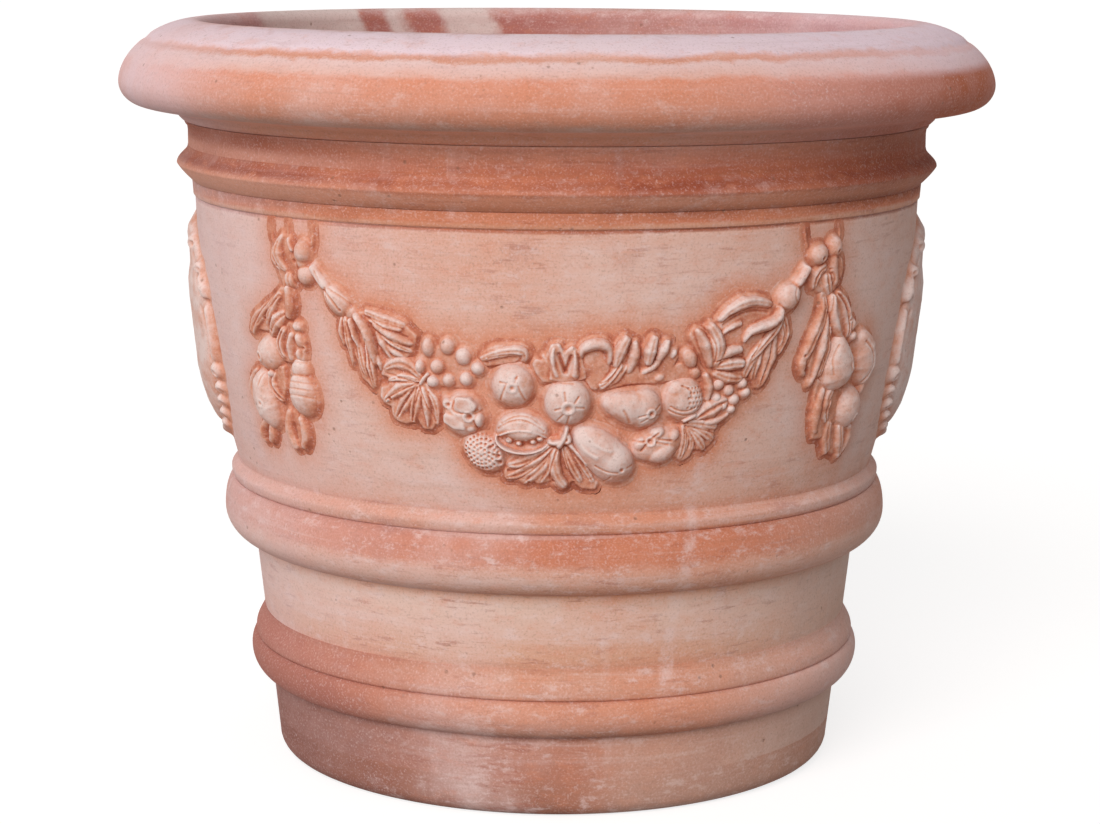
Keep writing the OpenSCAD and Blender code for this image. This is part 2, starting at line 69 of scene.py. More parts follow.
def swelling(z0, r0, z1, r1, steps=14):
    """Underside of a moulding, from where it leaves the wall up to its widest ring."""
    turns = [math.pi / 2 * i / steps for i in range(steps + 1)]
    return [(r0 + (r1 - r0) * math.sin(a), z1 - (z1 - z0) * math.cos(a)) for a in turns]


def rounding(z0, r0, z1, r1, steps=14):
    """Top of a moulding, rounded over from its widest ring."""
    turns = [math.pi / 2 * i / steps for i in range(1, steps + 1)]
    return [(r1 + (r0 - r1) * math.cos(a), z0 + (z1 - z0) * math.sin(a)) for a in turns]


def flaring(z0, r0, z1, r1, steps=14):
    """Hollow flare that runs out softly at both ends."""
    return [(r1 + (r0 - r1) * (1 + math.cos(math.pi * i / steps)) / 2, z0 + (z1 - z0) * i / steps)
            for i in range(1, steps + 1)]


def up_the_wall(z0, z1, steps=14):
    """Points along the wall's outside from height z0 to z1."""
    return [(float(wall_r(z)), z) for z in (z0 + (z1 - z0) * i / steps for i in range(steps + 1))]


def settled(points):
    """The slow wander of a big pot that was coiled by hand and shrank in the kiln."""
    turn = np.arctan2(points[:, 0], -points[:, 1])
    r = np.hypot(points[:, 0], points[:, 1])
    height = points[:, 2]
    grow = 0.0011 * np.sin(2 * turn + 0.9) + 0.0006 * np.sin(3 * turn + 5 * height)
    grow += 0.0005 * np.sin(5 * turn - 11 * height + 1.3)
    scale = 1 + grow / np.maximum(r, 0.1)
    points[:, 0] *= scale
    points[:, 1] *= scale
    points[:, 2] += height * 0.0016 * np.sin(turn + 2.2)
    return points


def points_of(piece, what="co"):
    """An array of where a piece's points are or, with "normal", of the way they face."""
    points = np.empty(len(piece.data.vertices) * 3)
    piece.data.vertices.foreach_get(what, points)
    return points.reshape(-1, 3)


def reshape(piece, how):
    """Moves all of a piece's points at once: how takes and gives back an array of them."""
    piece.data.vertices.foreach_set("co", how(points_of(piece)).ravel())
    piece.data.update()


def chosen(*pieces):
    """Takes hold of these pieces and lets go of all others. The first one is the active one."""
    bpy.ops.object.select_all(action="DESELECT")
    for each in pieces:
        each.select_set(True)
    if pieces:
        bpy.context.view_layer.objects.active = pieces[0]


def turned_ring(name, section, steps=432):
    """Draws a closed half section of (radius, height) points and turns it once round the pot."""
    chosen()
    bpy.ops.mesh.primitive_circle_add(vertices=len(section), fill_type="NOTHING")
    ring = bpy.context.object
    ring.name = ring.data.name = name
    for corner, (radius, height) in zip(ring.data.vertices, section):
        corner.co = (radius, 0, height)
    turn = ring.modifiers.new("turn", "SCREW")
    turn.steps = turn.render_steps = steps
    turn.use_merge_vertices = True
    bpy.ops.object.modifier_apply(modifier="turn")
    bpy.ops.object.mode_set(mode="EDIT")
    bpy.ops.mesh.select_all(action="SELECT")
    bpy.ops.mesh.remove_doubles(threshold=1e-6)
    bpy.ops.mesh.normals_make_consistent(inside=False)
    bpy.ops.object.mode_set(mode="OBJECT")
    reshape(ring, settled)
    bpy.ops.object.shade_smooth_by_angle(angle=math.radians(CRISP))
    return ring


def stands_for(piece):
    """The piece takes the place of the pot's node of the same name, and of its clay."""
    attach(piece, "root")
    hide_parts(piece.name.replace("_clay", ""))


def put(tree, kind, feeds=None, **ways):
    """Adds a node to a material, sets how it works, and feeds it values or other nodes' outputs."""
    new = tree.nodes.new(kind)
    for way, value in ways.items():
        setattr(new, way, value)
    for socket, value in (feeds or {}).items():
        if isinstance(value, bpy.types.NodeSocket):
            tree.links.new(value, new.inputs[socket])
        else:
            new.inputs[socket].default_value = value
    return new


def sums(tree, how, a, b, clamp=False):
    """One sum on the clay: how names it, and clamp keeps what comes out between 0 and 1."""
    return put(tree, "ShaderNodeMath", {0: a, 1: b}, operation=how, use_clamp=clamp).outputs[0]


def times(tree, a, b, clamp=False):
    return sums(tree, "MULTIPLY", a, b, clamp)


def plus(tree, a, b, clamp=False):
    return sums(tree, "ADD", a, b, clamp)


def weighed(tree, start, *shares):
    """start, and on top of it each value times its share."""
    for value, share in shares:
        start = plus(tree, start, times(tree, value, share))
    return start


def from_to(tree, value, low, high, out=1.0):
    """Nothing below low, out above high, and a soft change between."""
    feeds = {"Value": value, "From Min": low, "From Max": high, "To Max": out}
    return put(tree, "ShaderNodeMapRange", feeds, interpolation_type="SMOOTHSTEP").outputs[0]


def cloud(tree, where, scale, detail=4.0, rough=0.6, stretch=(1, 1, 1)):
    """A noise on the clay, stretch metres of it to the metre in each direction."""
    place = put(tree, "ShaderNodeMapping", {"Vector": where, "Scale": stretch}).outputs[0]
    feeds = {"Vector": place, "Scale": scale, "Detail": detail, "Roughness": rough}
    return put(tree, "ShaderNodeTexNoise", feeds).outputs["Fac"]


def tint(tree, share, below, above):
    feeds = {0: share, 6: below, 7: above}
    return put(tree, "ShaderNodeMix", feeds, data_type="RGBA").outputs[2]


def shade(red, green, blue):
    """A colour as it is seen, 0 to 255, as the shader wants it."""
    return tuple(((c / 255 + 0.055) / 1.055) ** 2.4 for c in (red, green, blue)) + (1,)


def coloured_by(tree, value, stops):
    """The colour at value, out of stops of (place from 0 to 1, colour)."""
    ramp = put(tree, "ShaderNodeValToRGB", {0: value})
    spots = ramp.color_ramp.elements
    spots.remove(spots[1])
    spots[0].color = stops[0][1]
    for place, colour in stops[1:]:
        spots.new(place).color = colour
    return ramp.outputs[0]


MARKS = {"Patches": "large soft patches", "Mottle": "hand sized cloudiness",
         "Blotches": "finger sized clouds", "Streaks": "level brush and rib marks",
         "Scrapes": "short level scrapes", "Runs": "rain down the side",
         "Lime": "one run of lime down the front", "Wash": "three dabs of white wash at the back",
         "Specks": "lime and dust specks", "Pits": "small burst pits", "Grit": "coarse grain",
         "Height": "millimetres of relief"}
marks = bpy.data.node_groups.new("clay marks", "ShaderNodeTree")
marks.interface.new_socket("Where", in_out="INPUT", socket_type="NodeSocketVector")
for mark, meaning in MARKS.items():
    marks.interface.new_socket(mark, description=meaning, in_out="OUTPUT", socket_type="NodeSocketFloat")
where = put(marks, "NodeGroupInput").outputs["Where"]
out = put(marks, "NodeGroupOutput")
axes = put(marks, "ShaderNodeSeparateXYZ", {0: where}).outputs
mottle = cloud(marks, where, 13, 6, 0.68)
blotches = cloud(marks, where, 36, 6, 0.70, (1, 1, 2.0))
scrapes = times(marks, from_to(marks, cloud(marks, where, 26, 6, 0.62, (1, 1, 7)), 0.55, 0.64),
               from_to(marks, mottle, 0.40, 0.56))
line = weighed(marks, 0.082, (axes["Z"], 0.14), (mottle, 0.03))
lime = from_to(marks, sums(marks, "ABSOLUTE", sums(marks, "SUBTRACT", axes["X"], line), 0.0), 0.010, 0.002)
for value, low, high in ((axes["Y"], 0.0, -0.05), (axes["Z"], 0.46, 0.38), (axes["Z"], 0.12, 0.15),
                         (blotches, 0.42, 0.56)):
    lime = times(marks, lime, from_to(marks, value, low, high))
slant = weighed(marks, axes["X"], (axes["Z"], 0.35), (mottle, 0.05))
wash = 0.0
for middle, half in ((0.020, 0.050), (0.117, 0.010), (0.203, 0.030)):
    off = sums(marks, "ABSOLUTE", sums(marks, "SUBTRACT", slant, middle), 0.0)
    wash = sums(marks, "MAXIMUM", wash, from_to(marks, off, half + 0.010, half - 0.008))
wash = times(marks, wash, from_to(marks, axes["Y"], 0.10, 0.16))
streaks = cloud(marks, where, 2.2, 5, 0.7, (1, 1, 34))
fine_lines = cloud(marks, where, 3.0, 3, 0.7, (1, 1, 190))
runs = cloud(marks, where, 2.4, 3, 0.55, (11, 11, 0.55))
grit = cloud(marks, where, 420, 3, 0.6)
specks = times(marks, from_to(marks, cloud(marks, where, 270, 2, 0.5), 0.60, 0.70),
              from_to(marks, mottle, 0.42, 0.62))
pit_cells = put(marks, "ShaderNodeTexVoronoi", {"Vector": where, "Scale": 62.0})
pits = times(marks, from_to(marks, pit_cells.outputs["Distance"], 0.16, 0.06),
            from_to(marks, cloud(marks, where, 21, 2), 0.55, 0.62))
height = times(marks, sums(marks, "SUBTRACT", fine_lines, 0.5), 0.30)
height = weighed(marks, height, (grit, 0.22), (mottle, 1.1), (streaks, 0.35), (pits, -0.9))
for mark, value in (("Patches", cloud(marks, where, 3.1, 4, 0.55)), ("Mottle", mottle), ("Streaks", streaks),
                    ("Blotches", blotches), ("Scrapes", scrapes), ("Lime", lime), ("Wash", wash),
                    ("Runs", runs), ("Specks", specks), ("Pits", pits), ("Grit", grit), ("Height", height)):
    marks.links.new(value, out.inputs[mark])

ORANGE = shade(218, 140, 106)
DEEP_RED = shade(160, 86, 66)
BLOOM = shade(232, 206, 202)
LILAC = shade(228, 198, 198)
DUST = shade(150, 112, 92)
WHITEWASH = shade(228, 208, 202)


def side_tint(start, stop, share, colour, below=2.0):
    """A tint that comes in from start to stop across the pot, on all that is below a height."""
    return start, stop, share, colour, below


SIDE_SOFT = 0.012
# Painted sheen: a patchy pale lilac tint on the pot's left side stands for pale light falling from the left.
PALE_LEFT = side_tint(-0.05, -0.48, 0.6, LILAC)


def new_clay(name):
    """A clay to colour: the material, its tree, the place on the pot, and the marks found there."""
    clay = bpy.data.materials.new(name)
    clay.use_nodes = True
    tree = clay.node_tree
    where = put(tree, "ShaderNodeTexCoord").outputs["Object"]
    mark = put(tree, "ShaderNodeGroup", {}, node_tree=marks)
    tree.links.new(where, mark.inputs["Where"])
    return clay, tree, where, mark.outputs


def finish_clay(clay, colour, mark, dull_where):
    """Specks, pits and grain over the colour, then the surface itself: dull, and a little rough."""
    tree = clay.node_tree
    colour = tint(tree, from_to(tree, mark["Grit"], 0.52, 0.72, 0.30), colour, DUST)
    colour = tint(tree, from_to(tree, mark["Grit"], 0.48, 0.30, 0.28), colour, BLOOM)
    colour = tint(tree, times(tree, mark["Specks"], 0.32), colour, BLOOM)
    colour = tint(tree, times(tree, mark["Pits"], 0.55), colour, DUST)
    bump = put(tree, "ShaderNodeBump", {"Height": mark["Height"], "Distance": MM, "Strength": 0.8})
    shader = tree.nodes["Principled BSDF"]
    shader.inputs["Specular IOR Level"].default_value = 0.25
    tree.links.new(colour, shader.inputs["Base Color"])
    dull = put(tree, "ShaderNodeMapRange", {"Value": dull_where, "To Min": 0.98, "To Max": 0.72}).outputs[0]
    tree.links.new(dull, shader.inputs["Roughness"])
    tree.links.new(bump.outputs[0], shader.inputs["Normal"])
    return clay


def fired_clay(name, levels, middle=None, orange=0.5, bloom=0.5, runs=0.3, wavy=0.004, scraped=0.3,
               sides=(PALE_LEFT,)):
    """Terracotta whose colour changes up the piece. levels are (place, red, green, blue) from low to
    high, where a place is millimetres up, or for a roll with a middle the degrees round it, up from
    level. wavy is how far the levels wander, in metres or degrees, and the rest are shares."""
    clay, tree, where, mark = new_clay(name)
    axes = put(tree, "ShaderNodeSeparateXYZ", {0: where}).outputs
    out_from_middle = put(tree, "ShaderNodeVectorMath", {0: where, 1: (1, 1, 0)},
                          operation="MULTIPLY").outputs[0]
    radius = put(tree, "ShaderNodeVectorMath", {0: out_from_middle}, operation="LENGTH").outputs["Value"]
    place = axes["Z"]
    if middle:
        up = sums(tree, "SUBTRACT", axes["Z"], middle[1])
        place = sums(tree, "ARCTAN2", up, sums(tree, "SUBTRACT", radius, middle[0]))
        place = times(tree, place, 180 / math.pi)
    wave = weighed(tree, mark["Mottle"], (mark["Blotches"], 0.8), (mark["Grit"], 0.12))
    place = weighed(tree, place, (sums(tree, "SUBTRACT", wave, 0.96), 2 * wavy))
    unit = 1 if middle else MM
    low, high = levels[0][0], levels[-1][0]
    feeds = {"Value": place, "From Min": low * unit, "From Max": high * unit}
    share = put(tree, "ShaderNodeMapRange", feeds).outputs[0]
    colour = coloured_by(tree, share, [((level - low) / (high - low), shade(*colour))
                                       for level, *colour in levels])
    for kind, low, high, share, tone in (
            ("Patches", 0.50, 0.66, orange, ORANGE), ("Mottle", 0.52, 0.70, 0.55 * orange, DEEP_RED),
            ("Patches", 0.50, 0.34, bloom, BLOOM), ("Streaks", 0.52, 0.66, 0.45 * bloom, BLOOM),
            ("Streaks", 0.46, 0.34, 0.12, DUST), ("Runs", 0.58, 0.70, runs, BLOOM),
            ("Blotches", 0.50, 0.68, 0.9 * orange, ORANGE), ("Blotches", 0.48, 0.32, 0.9 * bloom, BLOOM)):
        colour = tint(tree, from_to(tree, mark[kind], low, high, share), colour, tone)
    colour = tint(tree, times(tree, mark["Scrapes"], scraped), colour, DEEP_RED)
    uneven = weighed(tree, 0.4, (mark["Mottle"], 1.2))
    for start, stop, share, tone, below in sides:
        there = from_to(tree, axes["X"], start, stop, share)
        there = times(tree, there, from_to(tree, axes["Z"], below + SIDE_SOFT, below))
        colour = tint(tree, times(tree, there, uneven, True), colour, tone)
    stain = put(tree, "ShaderNodeAttribute", attribute_name="stain").outputs["Fac"]
    soaked = times(tree, stain, plus(tree, mark["Mottle"], 0.40), True)
    colour = tint(tree, soaked, colour, ORANGE)
    colour = tint(tree, from_to(tree, soaked, 0.80, 1.0, 0.15), colour, DEEP_RED)
    colour = tint(tree, times(tree, mark["Lime"], 0.42), colour, BLOOM)
    daub = times(tree, mark["Wash"], weighed(tree, 0.4, (mark["Blotches"], 0.8)))
    colour = tint(tree, daub, colour, WHITEWASH)
    return finish_clay(clay, colour, mark, mark["Streaks"])


def coated(piece, clay):
    piece.data.materials.clear()
    piece.data.materials.append(clay)


slab_top = BASE_TOP[2]
slab_r = float(wall_r(SLAB_ROUND))
slab_edge = [(slab_r - SLAB_ROUND * (1 - math.sin(a)), SLAB_ROUND * (1 - math.cos(a)))
             for a in (math.pi / 2 * i / 8 for i in range(9))]
base_slab = turned_ring("base_slab_clay", [(DRAIN_R, 0.002), (DRAIN_R + 0.002, 0)] + slab_edge
                        + [(BASE_TOP[0], slab_top), (DRAIN_R + 0.003, slab_top),
                           (DRAIN_R, slab_top - 0.003)])
stands_for(base_slab)
# The dark level at 96 millimetres is painted shadow under the foot roll.
coated(base_slab, fired_clay("worn foot clay", [
    (0, 132, 84, 68), (6, 156, 104, 86), (30, 172, 116, 96),
    (60, 192, 130, 108), (86, 194, 134, 112), (96, 150, 92, 74)],
    orange=0.3, bloom=0.6, runs=0.1, wavy=0.010, scraped=0.4,
    sides=(side_tint(-0.04, -0.30, 0.9, shade(138, 90, 80)),
           side_tint(0.01, 0.10, 0.45, shade(216, 178, 160)))))

# Lower wall
# Coils of clay drawn up and scraped, from the slab to the seam that the waist band hides.
lower_out = up_the_wall(slab_top, SEAM_Z, 24)
lower_wall = turned_ring("lower_wall_clay", lower_out
                         + [(SEAM_R - WALL_THICK, SEAM_Z), (lower_out[0][0] - WALL_THICK, slab_top)])
stands_for(lower_wall)
# The dark level at 96 millimetres is painted shadow under the foot roll.
coated(lower_wall, fired_clay("lower wall clay", [
    (45, 184, 122, 101), (86, 194, 132, 110), (96, 150, 92, 74),
    (170, 210, 148, 122), (184, 216, 164, 138), (212, 223, 182, 164),
    (242, 226, 192, 176), (256, 238, 182, 150)], orange=0.35, bloom=0.5, runs=0.2, wavy=0.008,
    scraped=0.45, sides=(PALE_LEFT, side_tint(-0.04, -0.30, 0.9, shade(144, 96, 86), below=0.094),
                        side_tint(0.01, 0.10, 0.45, shade(216, 178, 160), below=0.094),
                        side_tint(0.12, 0.34, 0.60, shade(228, 200, 186)))))

# Upper wall
# The bowed upper half, scraped round with a rib while the pot turned, which left fine level marks.
# A line was cut round it just under the strip, to set the garlands out from.
LINE_CUT = 0.0011
LINE_HALF = 0.0014
strip_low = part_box("collar_strip")[0][2]
line_z = strip_low - 0.002
upper_out = up_the_wall(SEAM_Z, line_z - LINE_HALF, 90)
upper_out += [(float(wall_r(line_z)) - LINE_CUT, line_z)] + up_the_wall(line_z + LINE_HALF, COLLAR_Z, 8)
upper_in = [(r - WALL_THICK, z) for r, z in upper_out[::-8]]
upper_wall = turned_ring("upper_wall_clay", upper_out + upper_in, steps=540)
stands_for(upper_wall)
# The dark levels at 650 and 652 millimetres paint the shadow of the strip's lower edge into the cut line.
coated(upper_wall, fired_clay("upper wall clay", [
    (300, 206, 136, 110), (350, 212, 152, 128), (360, 220, 170, 150),
    (392, 226, 184, 168), (500, 228, 188, 172), (600, 229, 190, 176),
    (648, 226, 184, 168), (650, 160, 92, 70), (652, 160, 92, 70),
    (655, 220, 150, 120)], orange=0.35, bloom=0.45, runs=0.2, wavy=0.0014,
    sides=(PALE_LEFT, side_tint(0.15, 0.40, 0.25, shade(226, 190, 176)))))

# Foot roll and fillet
# A fat coil luted low on the wall and run round with a shaped rib, with a hollow fillet over it.
FOOT_WIDEST = 0.66
foot_low, foot_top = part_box("foot_roll")
groove_z = foot_top[2]
roll_z = foot_low[2] + FOOT_WIDEST * (groove_z - foot_low[2])
fillet_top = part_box("foot_fillet")[1]
foot_roll = turned_ring("foot_roll_clay",
                        swelling(foot_low[2], float(wall_r(foot_low[2])), roll_z, foot_top[0])
                        + rounding(roll_z, foot_top[0], groove_z, fillet_top[0] - 0.003)
                        + up_the_wall(groove_z, foot_low[2], 6))
stands_for(foot_roll)
# The dark levels at 94 and 100 millimetres, the roll's underside, are painted shadow.
coated(foot_roll, fired_clay("foot roll clay", [
    (94, 140, 92, 76), (100, 176, 126, 106), (110, 210, 148, 126),
    (124, 214, 148, 122), (136, 212, 146, 120), (139, 196, 128, 104)],
    orange=0.4, bloom=0.5, runs=0.1, wavy=0.004,
    sides=(side_tint(-0.02, -0.36, 1.1, shade(172, 108, 94)), side_tint(0.12, 0.34, 0.55, BLOOM))))
foot_fillet = turned_ring("foot_fillet_clay",
                          swelling(groove_z, fillet_top[0] - 0.003, groove_z + 0.004, fillet_top[0], 5)
                          + flaring(groove_z + 0.006, fillet_top[0], fillet_top[2],
                                    float(wall_r(fillet_top[2])) + 0.0004)
                          + up_the_wall(fillet_top[2], groove_z, 6))
stands_for(foot_fillet)
coated(foot_fillet, fired_clay("foot fillet clay", [
    (138, 196, 128, 104), (142, 204, 144, 120), (150, 208, 152, 130),
    (164, 206, 148, 122), (171.5, 206, 146, 120)], orange=0.4, bloom=0.5, runs=0.1, wavy=0.004,
    sides=(side_tint(-0.02, -0.36, 1.0, shade(180, 116, 102)), side_tint(0.12, 0.34, 0.35, BLOOM))))

# Waist roll and fillet
# The roll covers the seam of the two walls; a thin round fillet is pinched up above its groove.
WAIST_WIDEST = 0.49
FILLET_WIDEST = 0.45
waist_low, waist_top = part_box("waist_roll")
groove_z = waist_top[2]
roll_z = waist_low[2] + WAIST_WIDEST * (groove_z - waist_low[2])
fillet_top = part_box("waist_fillet")[1]
fillet_z = groove_z + FILLET_WIDEST * (fillet_top[2] - groove_z)
waist_roll = turned_ring("waist_roll_clay",
                         swelling(waist_low[2], float(wall_r(waist_low[2])), roll_z, waist_top[0])
                         + rounding(roll_z, waist_top[0], groove_z, fillet_top[0] - 0.004)
                         + up_the_wall(groove_z, waist_low[2], 8))
stands_for(waist_roll)
# The dark level at 256 millimetres, the roll's underside, is painted shadow.
coated(waist_roll, fired_clay("waist roll clay", [
    (256, 180, 122, 98), (262, 204, 156, 134), (276, 220, 176, 158),
    (288, 217, 164, 144), (298, 204, 128, 100), (318, 200, 122, 94),
    (326, 186, 112, 86)], orange=0.3, bloom=0.6, runs=0.1, wavy=0.006,
    sides=(PALE_LEFT, side_tint(0.18, 0.38, 0.45, shade(224, 186, 172)))))
waist_fillet = turned_ring("waist_fillet_clay",
                           swelling(groove_z, fillet_top[0] - 0.004, fillet_z, fillet_top[0], 8)
                           + flaring(fillet_z, fillet_top[0], fillet_top[2],
                                     float(wall_r(fillet_top[2])) + 0.0004)
                           + up_the_wall(fillet_top[2], groove_z, 4))
stands_for(waist_fillet)
coated(waist_fillet, fired_clay("waist fillet clay", [
    (326, 186, 116, 90), (330, 202, 140, 114), (337, 208, 152, 130),
    (348, 206, 144, 118)], orange=0.4, bloom=0.5, runs=0.1, wavy=0.002,
    sides=(PALE_LEFT, side_tint(0.15, 0.38, 0.35, BLOOM))))

# Collar strip and bead
# A flat strip and a pointed bead under the neck, both run with a rib, which left the groove between.
strip_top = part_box("collar_strip")[1]
collar_strip = turned_ring("collar_strip_clay", [
    (float(wall_r(strip_low)) + 0.0012, strip_low), (float(wall_r(strip_low)) + 0.0022, strip_low + 0.0012),
    (strip_top[0] - 0.0006, COLLAR_Z - 0.002), (strip_top[0] - 0.002, COLLAR_Z)]
    + up_the_wall(COLLAR_Z, strip_low, 4))
stands_for(collar_strip)
# The dark levels from 664 millimetres up are painted shadow under the bead.
coated(collar_strip, fired_clay("strip clay", [
    (653, 226, 168, 142), (657, 222, 160, 132), (660, 206, 124, 92),
    (664, 180, 106, 78), (670, 152, 86, 62)], orange=0.5, bloom=0.25, runs=0.1, wavy=0.0022,
    # Painted sheen of pale light on the left side.
    sides=(side_tint(-0.20, -0.42, 0.25, LILAC),)))


def sloping(z0, r0, z1, r1, steps):
    """Underside run nearly straight up to a pointed edge."""
    return [(r0 + (r1 - r0) * (0.7 * t + 0.3 * math.sin(math.pi / 2 * t)), z0 + (z1 - z0) * t)
            for t in (i / steps for i in range(steps + 1))]


BEAD_POINT = 0.50
bead_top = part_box("collar_bead")[1]
neck_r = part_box("neck_ring")[1][0] - 0.0035
bead_z = COLLAR_Z + BEAD_POINT * (bead_top[2] - COLLAR_Z)
collar_bead = turned_ring("collar_bead_clay",
                          sloping(COLLAR_Z, strip_top[0] - 0.001, bead_z, bead_top[0], 18)
                          + flaring(bead_z, bead_top[0], bead_top[2], neck_r + 0.0004, 18)
                          + [(COLLAR_R, bead_top[2]), (COLLAR_R, COLLAR_Z)])
stands_for(collar_bead)
# The dark level at 670 millimetres, the bead's foot, is painted shadow where the bead overhangs the strip.
coated(collar_bead, fired_clay("bead clay", [
    (670, 160, 98, 78), (674, 184, 122, 96), (679, 214, 150, 124),
    (686, 212, 146, 120), (690, 180, 104, 80), (697, 158, 80, 56),
    (701, 160, 82, 58), (704, 176, 96, 70), (709, 182, 104, 76)],
    orange=0.45, bloom=0.22, runs=0.15, wavy=0.003,
    # Painted light on the left of the underside, which faces the lamp, and painted shade on the right side.
    sides=(side_tint(-0.10, -0.36, 0.7, shade(230, 168, 144), below=0.688),
           side_tint(0.20, 0.42, 0.5, shade(148, 82, 60)))))

# Neck ring
# The plain throat between the bead and the rim, with a thin fillet where the rim sits down on it.
neck_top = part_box("neck_ring")[1]
neck_in = neck_r - WALL_THICK
lip_low = neck_top[2] - 0.004
neck_ring = turned_ring("neck_ring_clay", [
    (COLLAR_R, COLLAR_Z), (COLLAR_R, bead_top[2]), (neck_r, bead_top[2]),
    (neck_r, lip_low - 0.008), (neck_r + 0.0008, lip_low - 0.002), (neck_r + 0.0028, lip_low),
    (neck_top[0], lip_low + 0.0012), (neck_top[0], neck_top[2] - 0.0004), (neck_in, neck_top[2]),
    (COLLAR_R - WALL_THICK, COLLAR_Z)])
stands_for(neck_ring)
# The pale levels from 731 millimetres up are painted light that lifts the shade under the rim.
coated(neck_ring, fired_clay("neck clay", [
    (670, 192, 128, 116), (709, 184, 104, 76), (713, 190, 108, 82),
    (727, 202, 132, 108), (731, 214, 146, 122), (737, 216, 152, 130),
    (738, 216, 160, 140)], orange=0.4, bloom=0.25, runs=0.15, wavy=0.003,
    sides=(side_tint(-0.10, -0.36, 0.75, shade(166, 94, 72)),
           side_tint(-0.06, -0.36, 0.8, shade(220, 158, 138), below=0.716),
           # Painted shade on the right side, away from the lamp.
           side_tint(0.20, 0.42, 0.6, shade(146, 78, 54)))))

# Rolled rim
# The heaviest coil of the pot, rolled outwards and smoothed with a wet hand. A shallow step runs
# round its shoulder, where the last turn of clay was laid on.
MOUTH_STEP = 0.015
LIP_ROUND = 0.014
RIM_STEP = 0.0016
STEP_AT = 0.60
STEP_EDGE = 0.0016
STEP_DIP = 0.0012
RIM_UNDER = 0.16
RIM_WIDEST = 0.39
rim_low, rim_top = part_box("rim_roll")
rim_r, rim_h = rim_top[0], rim_top[2] - rim_low[2]
mouth_r = neck_in + MOUTH_STEP
under_z = rim_low[2] + RIM_UNDER * rim_h
widest_z = rim_low[2] + RIM_WIDEST * rim_h
crest_r = mouth_r + LIP_ROUND
step_r = crest_r + STEP_AT * (rim_r - crest_r)


def rim_shoulder(t, flatness=1.8):
    """The rim's outside, t from its widest ring to its crest, with the step cut into it."""
    x = math.sin(math.pi / 2 * (1 - t))
    r = crest_r + (rim_r - crest_r) * x
    z = widest_z + (rim_top[2] - widest_z) * (1 - x ** flatness) ** (1 / flatness)
    over = 1 / (1 + math.exp((r - step_r) / STEP_EDGE))
    dip = math.exp(-((r - step_r - 0.003) / 0.004) ** 2)
    return r, z - RIM_STEP * (1 - over) * (1 - x) ** 0.5 - STEP_DIP * dip


shoulder = [rim_shoulder(i / 72) for i in range(1, 73)]
lip = [(crest_r - LIP_ROUND * math.sin(a), rim_top[2] - LIP_ROUND * (1 - math.cos(a)))
       for a in (math.pi / 2 * i / 10 for i in range(1, 11))]
throat = [(mouth_r, rim_top[2] - LIP_ROUND - 0.02), (mouth_r - 0.003, rim_low[2] + 0.045),
          (neck_in + 0.004, rim_low[2] + 0.015), (neck_in, rim_low[2])]
rim_roll = turned_ring("rim_roll_clay", [(neck_top[0] - 0.0006, rim_low[2])]
                       + [(neck_top[0] - 0.0006 + 0.014 * s, rim_low[2] + (under_z - rim_low[2]) * s * s)
                          for s in (0.25, 0.5, 0.75)]
                       + swelling(under_z, neck_r + 0.65 * (rim_r - neck_r), widest_z, rim_r, 20)
                       + shoulder + lip + throat, steps=540)
stands_for(rim_roll)
RIM_MIDDLE = (0.440, widest_z)
# The throat colour is darker than the rim as painted shade inside the mouth.
THROAT = (180, 112, 102)
coated(rim_roll, fired_clay("rim clay", [
    # The pale underside levels at -92 and -44 degrees are painted light that lifts the shade under the rim.
    (-180, *THROAT), (-120, *THROAT), (-92, 228, 168, 140), (-44, 222, 160, 134),
    (-36, 206, 166, 150), (-26, 198, 156, 138), (-14, 206, 138, 112),
    (26, 220, 142, 112), (33, 226, 178, 164), (47, 229, 192, 186),
    (53, 218, 150, 124), (59, 222, 158, 138), (65, 234, 209, 216),
    (100, 236, 212, 220), (112, 212, 170, 164), (124, *THROAT), (180, *THROAT)],
    middle=RIM_MIDDLE, orange=0.3, bloom=0.28, runs=0.0, wavy=11.0, scraped=0.15,
    # Painted sheen on the left, painted light on the right, and painted shade on the right below 0.80 m.
    sides=(side_tint(-0.29, -0.47, 0.7, shade(232, 203, 207)),
           side_tint(0.10, 0.46, 0.5, shade(244, 218, 230)),
           side_tint(0.10, 0.46, 0.9, shade(184, 102, 72), below=0.80))))

# Left knot
# Ribbon tied round two balls of clay, where the left end of the garland hangs. Each sprig is made
# flat on a board, of lumps and rolled coils pressed into one skin, then bent on to the wall with slip.
# Places on the board are degrees round from the garland's middle and millimetres down from its top.
HANG_GAP = 0.013
hang_z = strip_low - HANG_GAP
BOARD_R = 0.401
# A lump goes this far behind the board, and no tool cuts the clay lower than this over the board.
BEHIND = 1.5 * MM
TOOL_ABOVE = 1.5 * MM
UNEVEN_SIZE = 0.012
# The slip at a sprig's foot, in two steps: its share of the reach, its share of the sprig's height,
# and its greatest height in millimetres. Up to FOOT millimetres the clay is rubbed thin.
FILLETS = ((0.5, 0.5, 2.6), (1.2, 0.25, 1.1))
FOOT = 3.2
BACK_SHARE = 0.42
sprigs = []


def spot(place):
    """Metres right and up on the board of a place on the garland."""
    return np.array([math.radians(place[0]) * BOARD_R, -place[1] * MM])


def stroke(path):
    """The smooth line that a tool takes through a few places, as a function of how far along it is."""
    stops = np.linspace(0, 1, len(path))
    curve = np.polyfit(stops, np.array([spot(p) for p in path]), len(path) - 1)
    return lambda t: np.stack([np.polyval(curve[:, i], t) for i in (0, 1)], -1)


def evenly(values, t):
    return np.interp(t, np.linspace(0, 1, len(values)), values)


